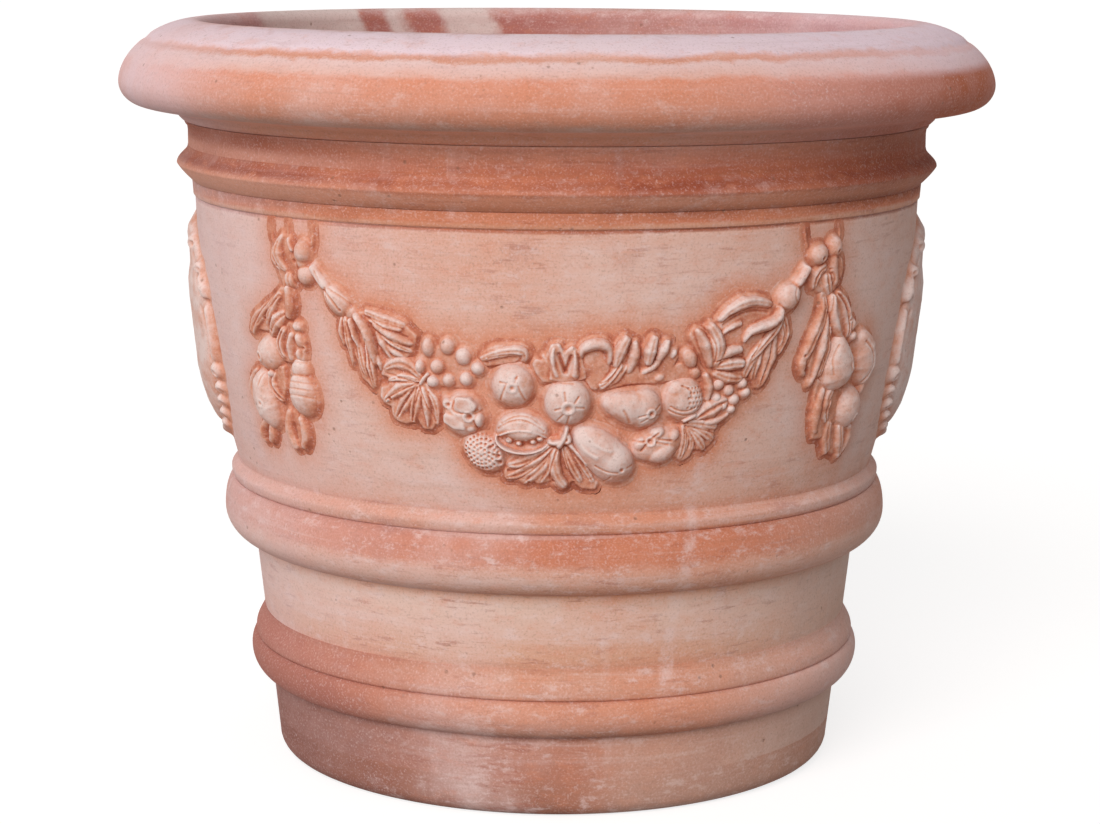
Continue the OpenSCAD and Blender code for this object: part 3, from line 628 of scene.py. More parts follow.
def lump(place, half, rise, turn=0, taper=0.0):
    """A ball of clay pressed down on the board. half is half its length and width, turn the way that
    its thick end points, and taper how much narrower the other end is."""
    chosen()
    bpy.ops.mesh.primitive_uv_sphere_add(segments=56, ring_count=28, radius=1, rotation=(math.pi / 2, 0, 0))
    bpy.ops.object.transform_apply(location=False, rotation=True, scale=False)
    bpy.ops.object.mode_set(mode="EDIT")
    bpy.ops.mesh.select_all(action="SELECT")
    bpy.ops.mesh.bisect(plane_co=(0, BEHIND / (rise * MM), 0), plane_no=(0, 1, 0), use_fill=True,
                        clear_outer=True)
    bpy.ops.object.mode_set(mode="OBJECT")
    ball = bpy.context.object
    middle, way = spot(place), math.radians(turn)

    def pressed(p):
        wide = half[1] * MM * (1 - taper * (1 - p[:, 0]) / 2)
        long, across = p[:, 0] * half[0] * MM, p[:, 2] * wide
        right = middle[0] + long * math.cos(way) - across * math.sin(way)
        up = middle[1] + long * math.sin(way) + across * math.cos(way)
        return np.stack([right, p[:, 1] * rise * MM, up], 1)

    reshape(ball, pressed)
    return ball


def coil(path, widths, rises, fold=0.0, flat=2.0):
    """A rolled coil or a leaf's finger laid along a path. widths and rises are millimetres at even
    steps along it, fold is how deep it is creased down its middle, and flat squares its back."""
    line = stroke(path)
    legs = np.diff(line(np.linspace(0, 1, 9)), axis=0)
    steps = int(np.hypot(legs[:, 0], legs[:, 1]).sum() / (1.5 * MM)) + 6
    chosen()
    bpy.ops.mesh.primitive_grid_add(x_subdivisions=steps, y_subdivisions=max(14, int(max(widths))), size=2)
    strip = bpy.context.object
    thick = strip.modifiers.new("thick", "SOLIDIFY")
    thick.thickness = 1
    bpy.ops.object.modifier_apply(modifier="thick")

    def laid(p):
        t, v = (p[:, 0] + 1) / 2, p[:, 1]
        ends = np.sqrt(np.clip(1 - np.abs(p[:, 0]) ** 12, 0.02, 1))
        ahead = line(t + 0.01) - line(t - 0.01)
        ahead /= np.linalg.norm(ahead, axis=1)[:, None]
        side = np.stack([-ahead[:, 1], ahead[:, 0]], 1)
        on_board = line(t) + side * (v * evenly(widths, t) * MM * ends)[:, None]
        back = np.clip(1 - np.abs(v) ** flat, 0, 1) ** (1 / flat) * (1 - fold * np.exp(-(v / 0.24) ** 2))
        proud = np.where(p[:, 2] > -0.5, back * evenly(rises, t) * MM * ends, -BEHIND)
        return np.stack([on_board[:, 0], -proud, on_board[:, 1]], 1)

    reshape(strip, laid)
    return strip


def cut_leaf(outline, thick):
    """A leaf cut out of a rolled sheet of clay with a knife, thick millimetres of it, its edges rubbed."""
    chosen()
    bpy.ops.mesh.primitive_circle_add(vertices=len(outline), fill_type="NGON")
    leaf = bpy.context.object
    for corner, place in zip(leaf.data.vertices, outline):
        right, up = spot(place)
        corner.co = (right, BEHIND, up)
    bpy.ops.object.mode_set(mode="EDIT")
    bpy.ops.mesh.select_all(action="SELECT")
    bpy.ops.mesh.extrude_region_move(TRANSFORM_OT_translate={"value": (0, -BEHIND - thick * MM, 0)})
    bpy.ops.mesh.select_all(action="SELECT")
    bpy.ops.mesh.normals_make_consistent(inside=False)
    bpy.ops.mesh.bevel(offset=2.4 * MM, segments=3, affect="EDGES", clamp_overlap=True)
    bpy.ops.object.mode_set(mode="OBJECT")
    return leaf


def copy_of(piece, name):
    chosen(piece)
    bpy.ops.object.duplicate()
    copy = bpy.context.object
    copy.name = copy.data.name = name
    return copy


def one_skin(name, lumps, grain=1.0, rubs=7, lumpy=1.2, slip=5.0):
    """Presses lumps into one piece of clay, fills the corner at its foot with slip millimetres of slip,
    rubs the joints smooth and leaves it all a little uneven."""
    chosen(*lumps)
    bpy.ops.object.join()
    piece = bpy.context.object
    piece.name = piece.data.name = name
    fillets = []
    facing = points_of(piece, "normal")
    for reach, share, most in FILLETS if slip else ():
        fillets.append(copy_of(piece, "fillet"))

        def spread(p):
            p[:, 0] += facing[:, 0] * reach * slip * MM
            p[:, 2] += facing[:, 2] * reach * slip * MM
            p[:, 1] = np.where(p[:, 1] < 0, -np.minimum(-p[:, 1] * share, most * MM), p[:, 1])
            return p

        reshape(fillets[-1], spread)
    chosen(piece, *fillets)
    bpy.ops.object.join()
    remade = piece.modifiers.new("one_skin", "REMESH")
    remade.mode = "VOXEL"
    remade.voxel_size = grain * MM
    uneven = piece.modifiers.new("uneven", "DISPLACE")
    uneven.texture = bpy.data.textures.get("uneven_clay") or bpy.data.textures.new("uneven_clay", "CLOUDS")
    uneven.texture.noise_scale = UNEVEN_SIZE
    uneven.strength = lumpy * MM
    rubbed = piece.modifiers.new("rubbed", "SMOOTH")
    rubbed.iterations = rubs
    for each in ("one_skin", "uneven", "rubbed"):
        bpy.ops.object.modifier_apply(modifier=each)

    def thinned(p):
        low = np.clip(-p[:, 1] / (FOOT * MM), 0, 1)
        p[:, 1] *= np.where(p[:, 1] < 0, low * low * (3 - 2 * low), 1)
        return p

    reshape(piece, thinned)
    bpy.ops.object.shade_smooth()
    return piece


def scored(piece, path, deep=1.2, wide=1.3):
    """Draws a tool along a path: a groove, or a ridge where deep is below nothing."""
    line = stroke(path)(np.linspace(0, 1, 40))

    def cut(p):
        away = np.min(np.hypot(p[:, None, 0] - line[:, 0], p[:, None, 2] - line[:, 1]), axis=1)
        p[:, 1] += np.where(p[:, 1] < -TOOL_ABOVE, deep * MM * np.exp(-(away / (wide * MM)) ** 2), 0)
        return p

    reshape(piece, cut)


def poked(piece, place, deep=2.5, wide=2.5, ring=0.0, ring_r=6.0):
    """Pokes a round hole, and raises a ring round it."""
    middle = spot(place)

    def push(p):
        away = np.hypot(p[:, 0] - middle[0], p[:, 2] - middle[1]) / MM
        move = deep * np.exp(-(away / wide) ** 4) - ring * np.exp(-((away - ring_r) / 1.3) ** 2)
        p[:, 1] += np.where(p[:, 1] < -TOOL_ABOVE, move * MM, 0)
        return p

    reshape(piece, push)


def bent_on(points, middle=0.0):
    """Bends the board on to the wall. middle is the angle round the pot where the board's middle goes."""
    turn = middle + points[:, 0] / BOARD_R
    height = hang_z + points[:, 2]
    r = wall_r(height) - points[:, 1]
    return settled(np.stack([r * np.sin(turn), -r * np.cos(turn), height], 1))


def note_on(piece, name, values):
    """Writes a value on each of a piece's points, for its clay to read."""
    piece.data.attributes.new(name, "FLOAT", "POINT").data.foreach_set("value", values)


def slipped(piece):
    """Draws a sprig's foot out, as slip worked into its corner does; notes wear, painted light and shade."""
    mesh, points, normals = piece.data, points_of(piece), points_of(piece, "normal")
    count = len(points)
    ends = np.empty(len(mesh.edges) * 2, int)
    mesh.edges.foreach_get("vertices", ends)
    a, b = ends.reshape(-1, 2).T
    near = np.bincount(ends, minlength=count)

    def around(values):
        return (np.bincount(a, values[b], count) + np.bincount(b, values[a], count)) / near

    lean = np.stack([around(points[:, i]) for i in range(3)], 1) - points
    apart = np.sum((points[a] - points[b]) ** 2, 1)
    reach = (np.bincount(a, apart, count) + np.bincount(b, apart, count)) / near
    hollow = np.sum(lean * normals, 1) / reach * 4 * MM
    for i in range(4):
        hollow = (hollow + around(hollow)) / 2
    proud = -points[:, 1] / MM
    hollow = hollow * np.clip((proud - 1.5) / 3, np.where(hollow < 0, 0.0, 0.5), 1)
    # Painted light and shade: points facing up and to the left are made paler, those facing down and right
    # darker.
    painted_light_up_left = normals[:, 2] - 0.6 * normals[:, 0]
    for name, values in (("hollow", np.clip(hollow, -1, 1)), ("proud", proud), ("painted_light_up_left", painted_light_up_left)):
        note_on(piece, name, values)
    draw = 1.3 * MM * np.clip(1 - proud / 2.6, 0, 1.3) ** 2
    points[:, 0] += normals[:, 0] * draw
    points[:, 2] += normals[:, 2] * draw
    mesh.vertices.foreach_set("co", points.ravel())
    mesh.update()


def hung(piece, slot):
    """Bends a sprig on to the front of the pot, and a copy of it, turned half round, on to the back."""
    slipped(piece)
    behind = copy_of(piece, piece.name.replace("front_", "back_"))
    plainer = behind.modifiers.new("plainer", "DECIMATE")
    plainer.ratio = BACK_SHARE
    bpy.ops.object.modifier_apply(modifier="plainer")
    reshape(piece, bent_on)
    reshape(behind, lambda p: bent_on(p, math.pi))
    for each in (piece, behind):
        stands_for(each)
        sprigs.append((each, slot))


knot = one_skin("front_left_knot_clay", [
    coil([(-43.4, 5), (-44.7, 26), (-42.9, 46)], [3, 8, 4], [6, 11, 7], fold=0.15),
    coil([(-45.7, 19), (-45.8, 33), (-44.4, 45)], [3, 4.5, 3], [5, 7, 5]),
    coil([(-42.5, 8), (-42.0, 15), (-41.5, 24)], [3, 3.5, 3], [6, 8, 7]),
    coil([(-46.5, -8), (-46.6, 7), (-45.7, 19)], [1.6, 1.8, 2.4], [1.3, 1.9, 3.0]),
    coil([(-42.7, -8), (-42.7, 3), (-42.4, 12)], [1.6, 1.8, 2.5], [2.0, 2.6, 3.6]),
    coil([(-37.8, -8), (-37.7, 3), (-38.0, 17)], [1.6, 1.8, 2.5], [2.0, 2.6, 3.6]),
    cut_leaf([(-46.0, 14), (-43.4, 4), (-41.2, 12), (-40.6, 30), (-41.4, 62), (-44.6, 64),
              (-45.6, 44)], 3),
    lump((-39.5, 22), (13, 11), 13, 80), lump((-39.8, 33), (9, 8), 8, 80),
    lump((-39.3, 47), (11.5, 11), 10), lump((-42.7, 54), (10, 9), 8, 90, 0.2)], rubs=4)
for way in (-2.6, 0.4, 2.6):
    scored(knot, [(-42.7 + 0.3 * way, 48), (-42.7 + 0.5 * way, 62)], 0.9, 1.1)
poked(knot, (-45.6, 27), 1.6, 1.4)
poked(knot, (-45.2, 40), 1.4, 1.2)
poked(knot, (-41.6, 33), 2.2, 2.2)
hung(knot, "leaf_clay")

# Right knot
# The same knot tied tighter: two balls with a thumb mark in each over a bunched ribbon.
knot = one_skin("front_right_knot_clay", [
    lump((41.6, 23), (13, 12), 12), lump((44.9, 17), (13, 10.5), 11, 80),
    coil([(44.7, 21), (44.9, 36), (46.1, 60)], [4, 7, 6], [8, 9, 6]),
    coil([(43.6, 36), (41.4, 46), (41.3, 61)], [5, 7, 4], [7, 8, 5], fold=0.3),
    coil([(43.7, 44), (43.9, 56), (44.8, 68)], [6, 8, 5], [7, 8, 6], fold=0.3),
    coil([(46.8, 28), (47.1, 38), (46.6, 47)], [2, 3, 2], [3, 4, 3]),
    coil([(38.8, -8), (39.1, 4), (39.7, 17)], [1.6, 1.8, 2.4], [1.8, 2.2, 2.6]),
    coil([(46.1, -8), (46.5, 1), (46.3, 9)], [1.6, 1.8, 2.4], [1.8, 2.2, 2.6]),
    cut_leaf([(41.0, 34), (43.0, 30), (46.2, 28), (47.8, 40), (47.0, 60), (44.6, 70), (42.0, 64),
              (40.3, 56)], 3.5)], rubs=4)
poked(knot, (41.9, 27), 2.6, 2.2)
poked(knot, (45.2, 21), 2.4, 2.2)
poked(knot, (43.2, 38), 1.6, 1.4)
poked(knot, (44.3, 40), 1.6, 1.2)
scored(knot, [(42.6, 42), (41.9, 50), (42.6, 58)], 1.1, 1.0)
scored(knot, [(44.6, 44), (45.2, 52), (45.0, 62)], 1.1, 1.0)
hung(knot, "leaf_clay")

# Stems and buds
# A short cut stem and a ribbed bud at each end of the garland, where the ribbon takes hold of it.
buds = one_skin("front_stem_buds_clay", [
    coil([(-37.9, 35), (-36.8, 45), (-35.0, 60)], [5, 6, 6], [9, 10, 10]),
    lump((-33.6, 70), (20, 15), 13, -44, 0.25), lump((-31.3, 82), (7, 8), 7, -50),
    coil([(39.4, 34), (38.6, 42), (37.2, 55)], [6, 6, 6], [10, 11, 11]),
    lump((36.0, 66), (17, 15.5), 14, 225, 0.15), lump((34.6, 78), (7, 9), 7, 230)])
scored(buds, [(-35.6, 60), (-33.8, 68), (-32.6, 80)], 1.5, 1.2)
scored(buds, [(-35.2, 58), (-34.8, 70), (-34.0, 80)], 1.2, 1.1)
scored(buds, [(-34.6, 58), (-32.2, 66), (-31.0, 76)], 1.2, 1.1)
scored(buds, [(-36.9, 41), (-35.9, 53)], 0.8, 1.0)
poked(buds, (-32.5, 79), 1.2, 1.2)
scored(buds, [(34.2, 72), (35.3, 78), (36.6, 79)], 1.2, 1.2)
scored(buds, [(36.9, 56), (36.4, 63), (36.9, 70)], 0.7, 1.2)
poked(buds, (38.2, 44), 0.9, 1.0)
hung(buds, "fruit_clay")

# Left drop
# Leaves hanging under the left knot, with a round fruit, a pear and a banded gourd among them.
leaves = one_skin("front_left_drop_leaves_clay", [
    cut_leaf([(-45.1, 63), (-47.0, 74), (-53.7, 104), (-54.9, 118), (-53.5, 123), (-52.4, 116),
              (-49.5, 115), (-47.2, 112), (-44.5, 101), (-43.5, 86), (-42.6, 62)], 3.6),
    cut_leaf([(-46.9, 126), (-44.7, 106), (-43.8, 99), (-41.6, 104), (-41.4, 116), (-40.7, 127),
              (-41.3, 141), (-44.6, 146), (-46.7, 145), (-47.4, 136)], 4.3),
    cut_leaf([(-48.9, 152), (-50.1, 172), (-49.8, 190), (-48.0, 194), (-46.6, 176), (-46.3, 150)], 4.3),
    cut_leaf([(-48.6, 222), (-47.6, 234), (-47.1, 244), (-45.4, 243), (-44.0, 230), (-43.3, 219),
              (-44.5, 208), (-45.7, 198), (-47.5, 207)], 2.9),
    coil([(-44.8, 68), (-47.3, 89), (-49.3, 108)], [3.9, 6.5, 2.6], [7.2, 9.6, 6], fold=0.2),
    coil([(-45.5, 70), (-49.8, 97), (-53.8, 121)], [3.2, 5.2, 2.6], [6, 8.4, 4.8]),
    coil([(-47.9, 81), (-51.4, 99), (-54.0, 108)], [3.9, 6.5, 3.9], [4.8, 6, 3.6], fold=0.2),
    coil([(-43.4, 60), (-43.0, 79), (-44.0, 97)], [5.2, 6.5, 5.2], [8.4, 9.6, 7.2]),
    coil([(-43.9, 91), (-46.2, 101), (-48.7, 121)], [5.2, 10.4, 3.9], [7.2, 10.8, 6], fold=0.25),
    lump((-41.9, 104), (7, 6), 8), lump((-41.9, 119), (9, 6.5), 8, 100), lump((-42.2, 134), (8, 5.5), 8, 80),
    coil([(-43.0, 110), (-43.7, 127), (-43.7, 143)], [3.9, 5.2, 3.9], [8.4, 10.8, 8.4]),
    coil([(-44.4, 106), (-46.0, 124), (-45.4, 142)], [3.9, 6.5, 3.9], [8.4, 10.8, 8.4], fold=0.3),
    coil([(-53.6, 159), (-57.0, 183), (-55.8, 206)], [3.2, 6.5, 3.2], [4.8, 6, 4.8]),
    coil([(-48.4, 156), (-49.8, 174), (-47.4, 190)], [5.2, 10.4, 5.2], [6, 9.6, 7.2], fold=0.45),
    coil([(-53.4, 215), (-55.7, 233), (-55.4, 244)], [5.2, 6.5, 4.5], [7.2, 9.6, 7.2]),
    coil([(-52.5, 215), (-52.7, 231), (-54.2, 243)], [3.9, 5.9, 4.5], [6, 8.4, 6]),
    coil([(-46.6, 198), (-47.3, 224), (-46.0, 244)], [5.2, 7.8, 5.9], [6, 9.6, 8.4]),
    coil([(-44.6, 205), (-43.6, 222), (-44.9, 242)], [3.9, 6.5, 5.2], [6, 8.4, 7.2])], rubs=4, lumpy=2.0)
for place in ((-46.9, 118), (-47.8, 112), (-49.4, 100), (-41.0, 112), (-41.2, 127)):
    poked(leaves, place, 2.0, 1.8)
scored(leaves, [(-45.0, 72), (-48.4, 92), (-51.6, 108)], 1.3, 1.0)
scored(leaves, [(-46.6, 74), (-50.6, 96), (-53.4, 112)], 1.1, 1.0)
scored(leaves, [(-46.2, 214), (-46.0, 232)], 1.2, 1.0)
hung(leaves, "leaf_clay")
fruit = one_skin("front_left_drop_fruit_clay", [
    lump((-49.6, 140), (23, 20), 13, 15, 0.1), lump((-49.3, 161), (4.5, 4.5), 12),
    coil([(-51.2, 161), (-52.4, 190), (-50.0, 221)], [9, 19, 23, 22, 12], [9, 15, 17, 17, 11]),
    lump((-42.5, 178), (26, 22.5), 16, -90, 0.2), lump((-42.6, 151), (12, 15), 10, -90, 0.3)])
poked(fruit, (-51.0, 143), 1.2, 2.2, 1.1, 5)
poked(fruit, (-51.8, 196), 0.8, 1.3, 0.7, 4)
for drop, half in ((143, 2.4), (157, 3.2), (164, 3.4), (171, 3.2), (178, 2.6)):
    scored(fruit, [(-42.4 - half, drop + 3), (-42.4, drop), (-42.4 + half, drop + 3)], 0.8, 1.1)
scored(fruit, [(-51.4, 163), (-52.0, 176)], 0.9, 1.1)
hung(fruit, "fruit_clay")

# Right drop
# A long lobed leaf, two gourds and a low fruit hanging under the right knot.
leaves = one_skin("front_right_drop_leaves_clay", [
    cut_leaf([(42.6, 63), (42.8, 85), (41.7, 108), (40.6, 120), (40.9, 137), (42.0, 148), (42.0, 164),
              (43.4, 167), (44.3, 157), (46.1, 163), (47.0, 145), (47.4, 121), (46.9, 95),
              (45.7, 67)], 3.6),
    cut_leaf([(45.6, 68), (47.0, 95), (48.8, 123), (50.6, 121), (50.3, 104), (48.6, 86),
              (46.6, 67)], 4.3),
    cut_leaf([(44.3, 160), (48.0, 170), (51.7, 178), (51.7, 201), (51.4, 215), (48.7, 221), (47.9, 230),
              (45.4, 229), (44.5, 203), (44.0, 182)], 3.6),
    cut_leaf([(49.0, 216), (48.8, 233), (50.3, 248), (54.7, 259), (56.7, 248), (56.8, 224),
              (52.5, 216)], 2.9),
    coil([(43.4, 67), (43.0, 99), (41.3, 124), (41.0, 140)], [5.2, 7.8, 7.8, 3.9], [7.2, 8.4, 8.4, 4.8],
         fold=0.2),
    coil([(44.3, 86), (44.0, 126), (42.5, 168)], [3.9, 6.5, 3.9], [7.2, 10.8, 6]),
    coil([(45.0, 100), (45.1, 127), (44.2, 160)], [3.9, 5.9, 3.9], [7.2, 9.6, 6], fold=0.3),
    coil([(41.4, 128), (40.4, 140), (41.4, 156)], [3.9, 6.5, 3.9], [4.8, 7.2, 4.8]),
    coil([(45.2, 66), (45.8, 94), (48.4, 120)], [5.2, 6.5, 5.2], [9.6, 12, 10.8]),
    coil([(46.1, 66), (49.0, 89), (49.9, 120)], [5.2, 9.1, 3.9], [7.2, 9.6, 9.6], fold=0.4),
    coil([(48.5, 172), (47.1, 190), (48.4, 213)], [5.2, 10.4, 5.2], [7.2, 9.6, 6], fold=0.15),
    coil([(46.1, 170), (45.2, 195), (46.0, 224)], [5.2, 7.8, 5.2], [7.2, 8.4, 6]),
    lump((49.3, 92), (7, 6), 8), lump((51.0, 106), (9, 7), 9, 60), lump((51.5, 118), (7, 7), 9),
    lump((56.9, 179), (11, 6), 8, 80),
    coil([(49.2, 210), (49.1, 230), (50.5, 249)], [6.5, 9.1, 6.5], [6, 7.2, 6], fold=0.2),
    coil([(52.1, 215), (53.0, 237), (54.3, 258)], [6.5, 9.1, 5.2], [7.2, 9.6, 7.2], fold=0.2),
    coil([(55.4, 220), (55.9, 237), (54.8, 255)], [5.2, 6.5, 3.9], [6, 7.2, 4.8])], rubs=4, lumpy=2.0)
for place in ((40.6, 132), (41.0, 148), (44.6, 112), (47.3, 100), (50.0, 99), (52.0, 112)):
    poked(leaves, place, 1.6, 1.8)
scored(leaves, [(44.1, 74), (43.0, 110), (41.6, 146)], 1.2, 1.0)
scored(leaves, [(45.0, 70), (45.0, 100), (46.2, 126)], 1.4, 1.0)
scored(leaves, [(48.4, 180), (47.2, 195), (48.2, 210)], 1.2, 1.0)
hung(leaves, "leaf_clay")
fruit = one_skin("front_right_drop_fruit_clay", [
    coil([(47.6, 112), (48.4, 144), (49.6, 174)], [7, 17, 25, 26, 17], [10, 15, 18, 18, 12]),
    coil([(53.4, 116), (56.6, 146), (56.2, 178)], [9, 19, 21, 13], [9, 14, 14, 9]),
    lump((53.5, 199), (25, 23), 16, -75, 0.12)])
scored(fruit, [(49.3, 124), (49.9, 144), (50.6, 164)], 0.9, 1.1)
scored(fruit, [(47.0, 124), (46.0, 140), (46.4, 156)], 0.8, 1.0)
scored(fruit, [(54.6, 126), (57.2, 150), (56.0, 172)], 1.8, 1.6)
poked(fruit, (51.0, 149), 1.6, 1.6, 0.9, 4)
poked(fruit, (54.6, 211), 1.4, 1.6, 1.0, 4.5)
hung(fruit, "fruit_clay")

# Left shoulder
# Two acanthus leaves and a vine leaf, their fingers rolled thin and pinched at the tips.


def leafage(name, lumps):
    """Cut leaves and their ribs in one skin, finer and less evenly worked than the fruit."""
    return one_skin(name, lumps, grain=0.9, rubs=4, lumpy=2.0)


leaves = leafage("front_left_acanthus_clay", [
    cut_leaf([(-32.1, 82), (-33.4, 96), (-33.6, 110), (-33.1, 119), (-32.6, 117), (-32.2, 126),
              (-31.8, 141), (-31.0, 128), (-30.6, 137), (-30.2, 152), (-29.3, 156), (-28.2, 164),
              (-27.2, 141), (-26.6, 129), (-26.9, 118), (-28.0, 105), (-29.0, 92), (-30.5, 80)], 3.6),
    cut_leaf([(-30.7, 82), (-28.5, 78), (-26.3, 86), (-24.1, 85), (-22.0, 91), (-20.3, 101),
              (-20.7, 112), (-21.3, 120), (-22.4, 128), (-23.6, 127), (-24.9, 131), (-25.6, 123),
              (-26.4, 117), (-27.0, 111), (-28.5, 101)], 5),
    coil([(-32.9, 87), (-33.2, 102), (-32.9, 117)], [2.6, 3.6, 1.8], [4.8, 7.2, 3.6]),
    coil([(-32.2, 86), (-31.8, 111), (-31.5, 138)], [3.2, 5.2, 2.1], [7.2, 9.6, 4.8], fold=0.2),
    coil([(-31.5, 87), (-30.5, 106), (-29.9, 121)], [3.2, 4.2, 2.3], [8.4, 12, 7.2]),
    coil([(-30.8, 82), (-28.4, 100), (-27.6, 120), (-27.2, 138)], [5.2, 6.5, 5.2, 2.6],
         [10.8, 15.6, 13.2, 7.2]),
    coil([(-30.2, 110), (-29.5, 134), (-29.2, 152)], [3.9, 5.9, 2.1], [7.2, 9.6, 4.8], fold=0.2),
    coil([(-28.7, 110), (-28.1, 138), (-28.0, 162)], [3.9, 6.5, 2.1], [7.2, 10.8, 4.8], fold=0.25),
    coil([(-27.4, 124), (-26.7, 134), (-26.8, 142)], [3.2, 3.9, 2], [7.2, 8.4, 4.8]),
    coil([(-29.0, 79), (-25.3, 86), (-22.0, 92)], [3.9, 6.5, 4.5], [7.2, 9.6, 7.2], fold=0.15),
    coil([(-28.2, 87), (-25.2, 93), (-22.5, 96)], [3.2, 5.2, 2.6], [7.2, 12, 8.4]),
    coil([(-27.6, 90), (-24.3, 102), (-20.8, 111)], [3.9, 7.2, 3.2], [8.4, 14.4, 9.6]),
    coil([(-26.4, 98), (-23.8, 110), (-21.0, 119)], [3.9, 6.5, 2.6], [8.4, 13.2, 7.2], fold=0.2),
    coil([(-26.9, 98), (-25.8, 111), (-24.6, 129)], [3.9, 5.9, 2.1], [7.2, 10.8, 6]),
    coil([(-25.8, 111), (-23.9, 120), (-22.2, 126)], [3.9, 5.2, 2.1], [7.2, 9.6, 4.8])])
scored(leaves, [(-30.4, 92), (-28.8, 112), (-28.2, 140)], 1.2, 0.9)
scored(leaves, [(-28.6, 84), (-25.0, 95), (-21.8, 103)], 1.3, 0.9)
scored(leaves, [(-27.2, 96), (-24.6, 106), (-21.6, 114)], 1.0, 0.8)
scored(leaves, [(-31.9, 92), (-31.0, 112), (-30.6, 130)], 1.0, 0.8)
hung(leaves, "leaf_clay")
leaf = leafage("front_vine_leaf_clay", [
    cut_leaf([(-21.4, 131), (-24.2, 129), (-26.1, 136), (-26.8, 146), (-25.6, 149), (-25.6, 156),
              (-27.0, 160), (-27.2, 169), (-26.7, 177), (-25.4, 180), (-25.4, 189), (-24.5, 196),
              (-23.2, 198), (-21.7, 195), (-21.2, 192), (-20.4, 202), (-18.8, 202), (-17.9, 192),
              (-17.3, 182), (-17.9, 173), (-18.6, 164), (-18.9, 155), (-19.8, 146)], 4.5),
    coil([(-19.9, 148), (-22.8, 132), (-26.3, 141)], [4, 9, 4], [7, 9, 7], fold=0.2),
    coil([(-20.1, 150), (-23.0, 147), (-25.7, 153)], [3, 6, 2.5], [6, 9, 6], fold=0.2),
    coil([(-20.1, 152), (-23.6, 160), (-26.4, 176)], [4, 9, 3.5], [7, 10, 9], fold=0.2),
    coil([(-20.4, 154), (-22.9, 174), (-25.0, 195)], [4, 9, 3.5], [7, 9, 5], fold=0.3),
    coil([(-20.2, 156), (-21.2, 175), (-22.2, 198)], [4, 8, 3.5], [7, 9, 5], fold=0.3),
    coil([(-20.0, 155), (-19.4, 176), (-19.5, 201)], [3.5, 5.5, 2], [7, 11, 7]),
    coil([(-19.6, 157), (-18.0, 173), (-18.1, 198)], [3, 5.5, 2], [6, 8, 5], fold=0.2),
    coil([(-18.7, 140), (-19.5, 146), (-20.3, 154)], [2.5, 3, 2.5], [7, 9, 7])])
for tip in ((-25.8, 144), (-26.0, 154), (-26.0, 172), (-24.4, 190), (-22.0, 193), (-18.2, 192)):
    scored(leaf, [(-20.6, 152), ((-20.6 + tip[0]) / 2, (150 + tip[1]) / 2), tip], 1.3, 0.9)
poked(leaf, (-25.3, 171), 2.6, 2.0)
poked(leaf, (-21.9, 197), 1.8, 1.8)
hung(leaf, "leaf_clay")

# Grapes
# Rolled balls of clay, some pulled a little long: a bunch on the left and a smaller one on the right.
left_bunch = [(-18.7, 113, 7, 11), (-15.7, 111, 8.2, 9.6), (-13.4, 121, 9, 10), (-20.1, 134, 6, 8),
              (-17.4, 133, 8.3, 8.3), (-11.3, 133, 7.6, 7.8), (-18.2, 149, 7.4, 7), (-15.7, 147, 7.4, 8.2),
              (-13.1, 145, 7.6, 8.2)]
right_bunch = [(24.9, 154, 7.4, 7), (26.7, 161, 7, 7), (24.7, 169, 6.6, 6.6), (27.8, 172, 7.2, 7),
               (29.0, 155, 6.6, 6.4), (29.7, 165, 6.6, 6.4), (27.4, 182, 6, 5.4), (25.9, 178, 6, 5.6)]
bunch = one_skin("front_grapes_clay", [lump(g[:2], g[2:], 11) for g in left_bunch]
                 + [lump(g[:2], g[2:], 9) for g in right_bunch]
                 + [coil([(-20.4, 122), (-16.5, 140), (-11.6, 146)], [6, 16, 8], [2.5, 3.5, 2.5], flat=4),
                    coil([(-18.5, 116), (-14.8, 124), (-11.4, 136)], [7, 13, 8], [2.5, 3.5, 2.5], flat=4),
                    coil([(24.6, 156), (27.2, 166), (28.4, 174)], [6, 10, 6], [2.5, 3.5, 2.5], flat=4)],
                 grain=0.9, rubs=5, lumpy=0.9)
hung(bunch, "fruit_clay")

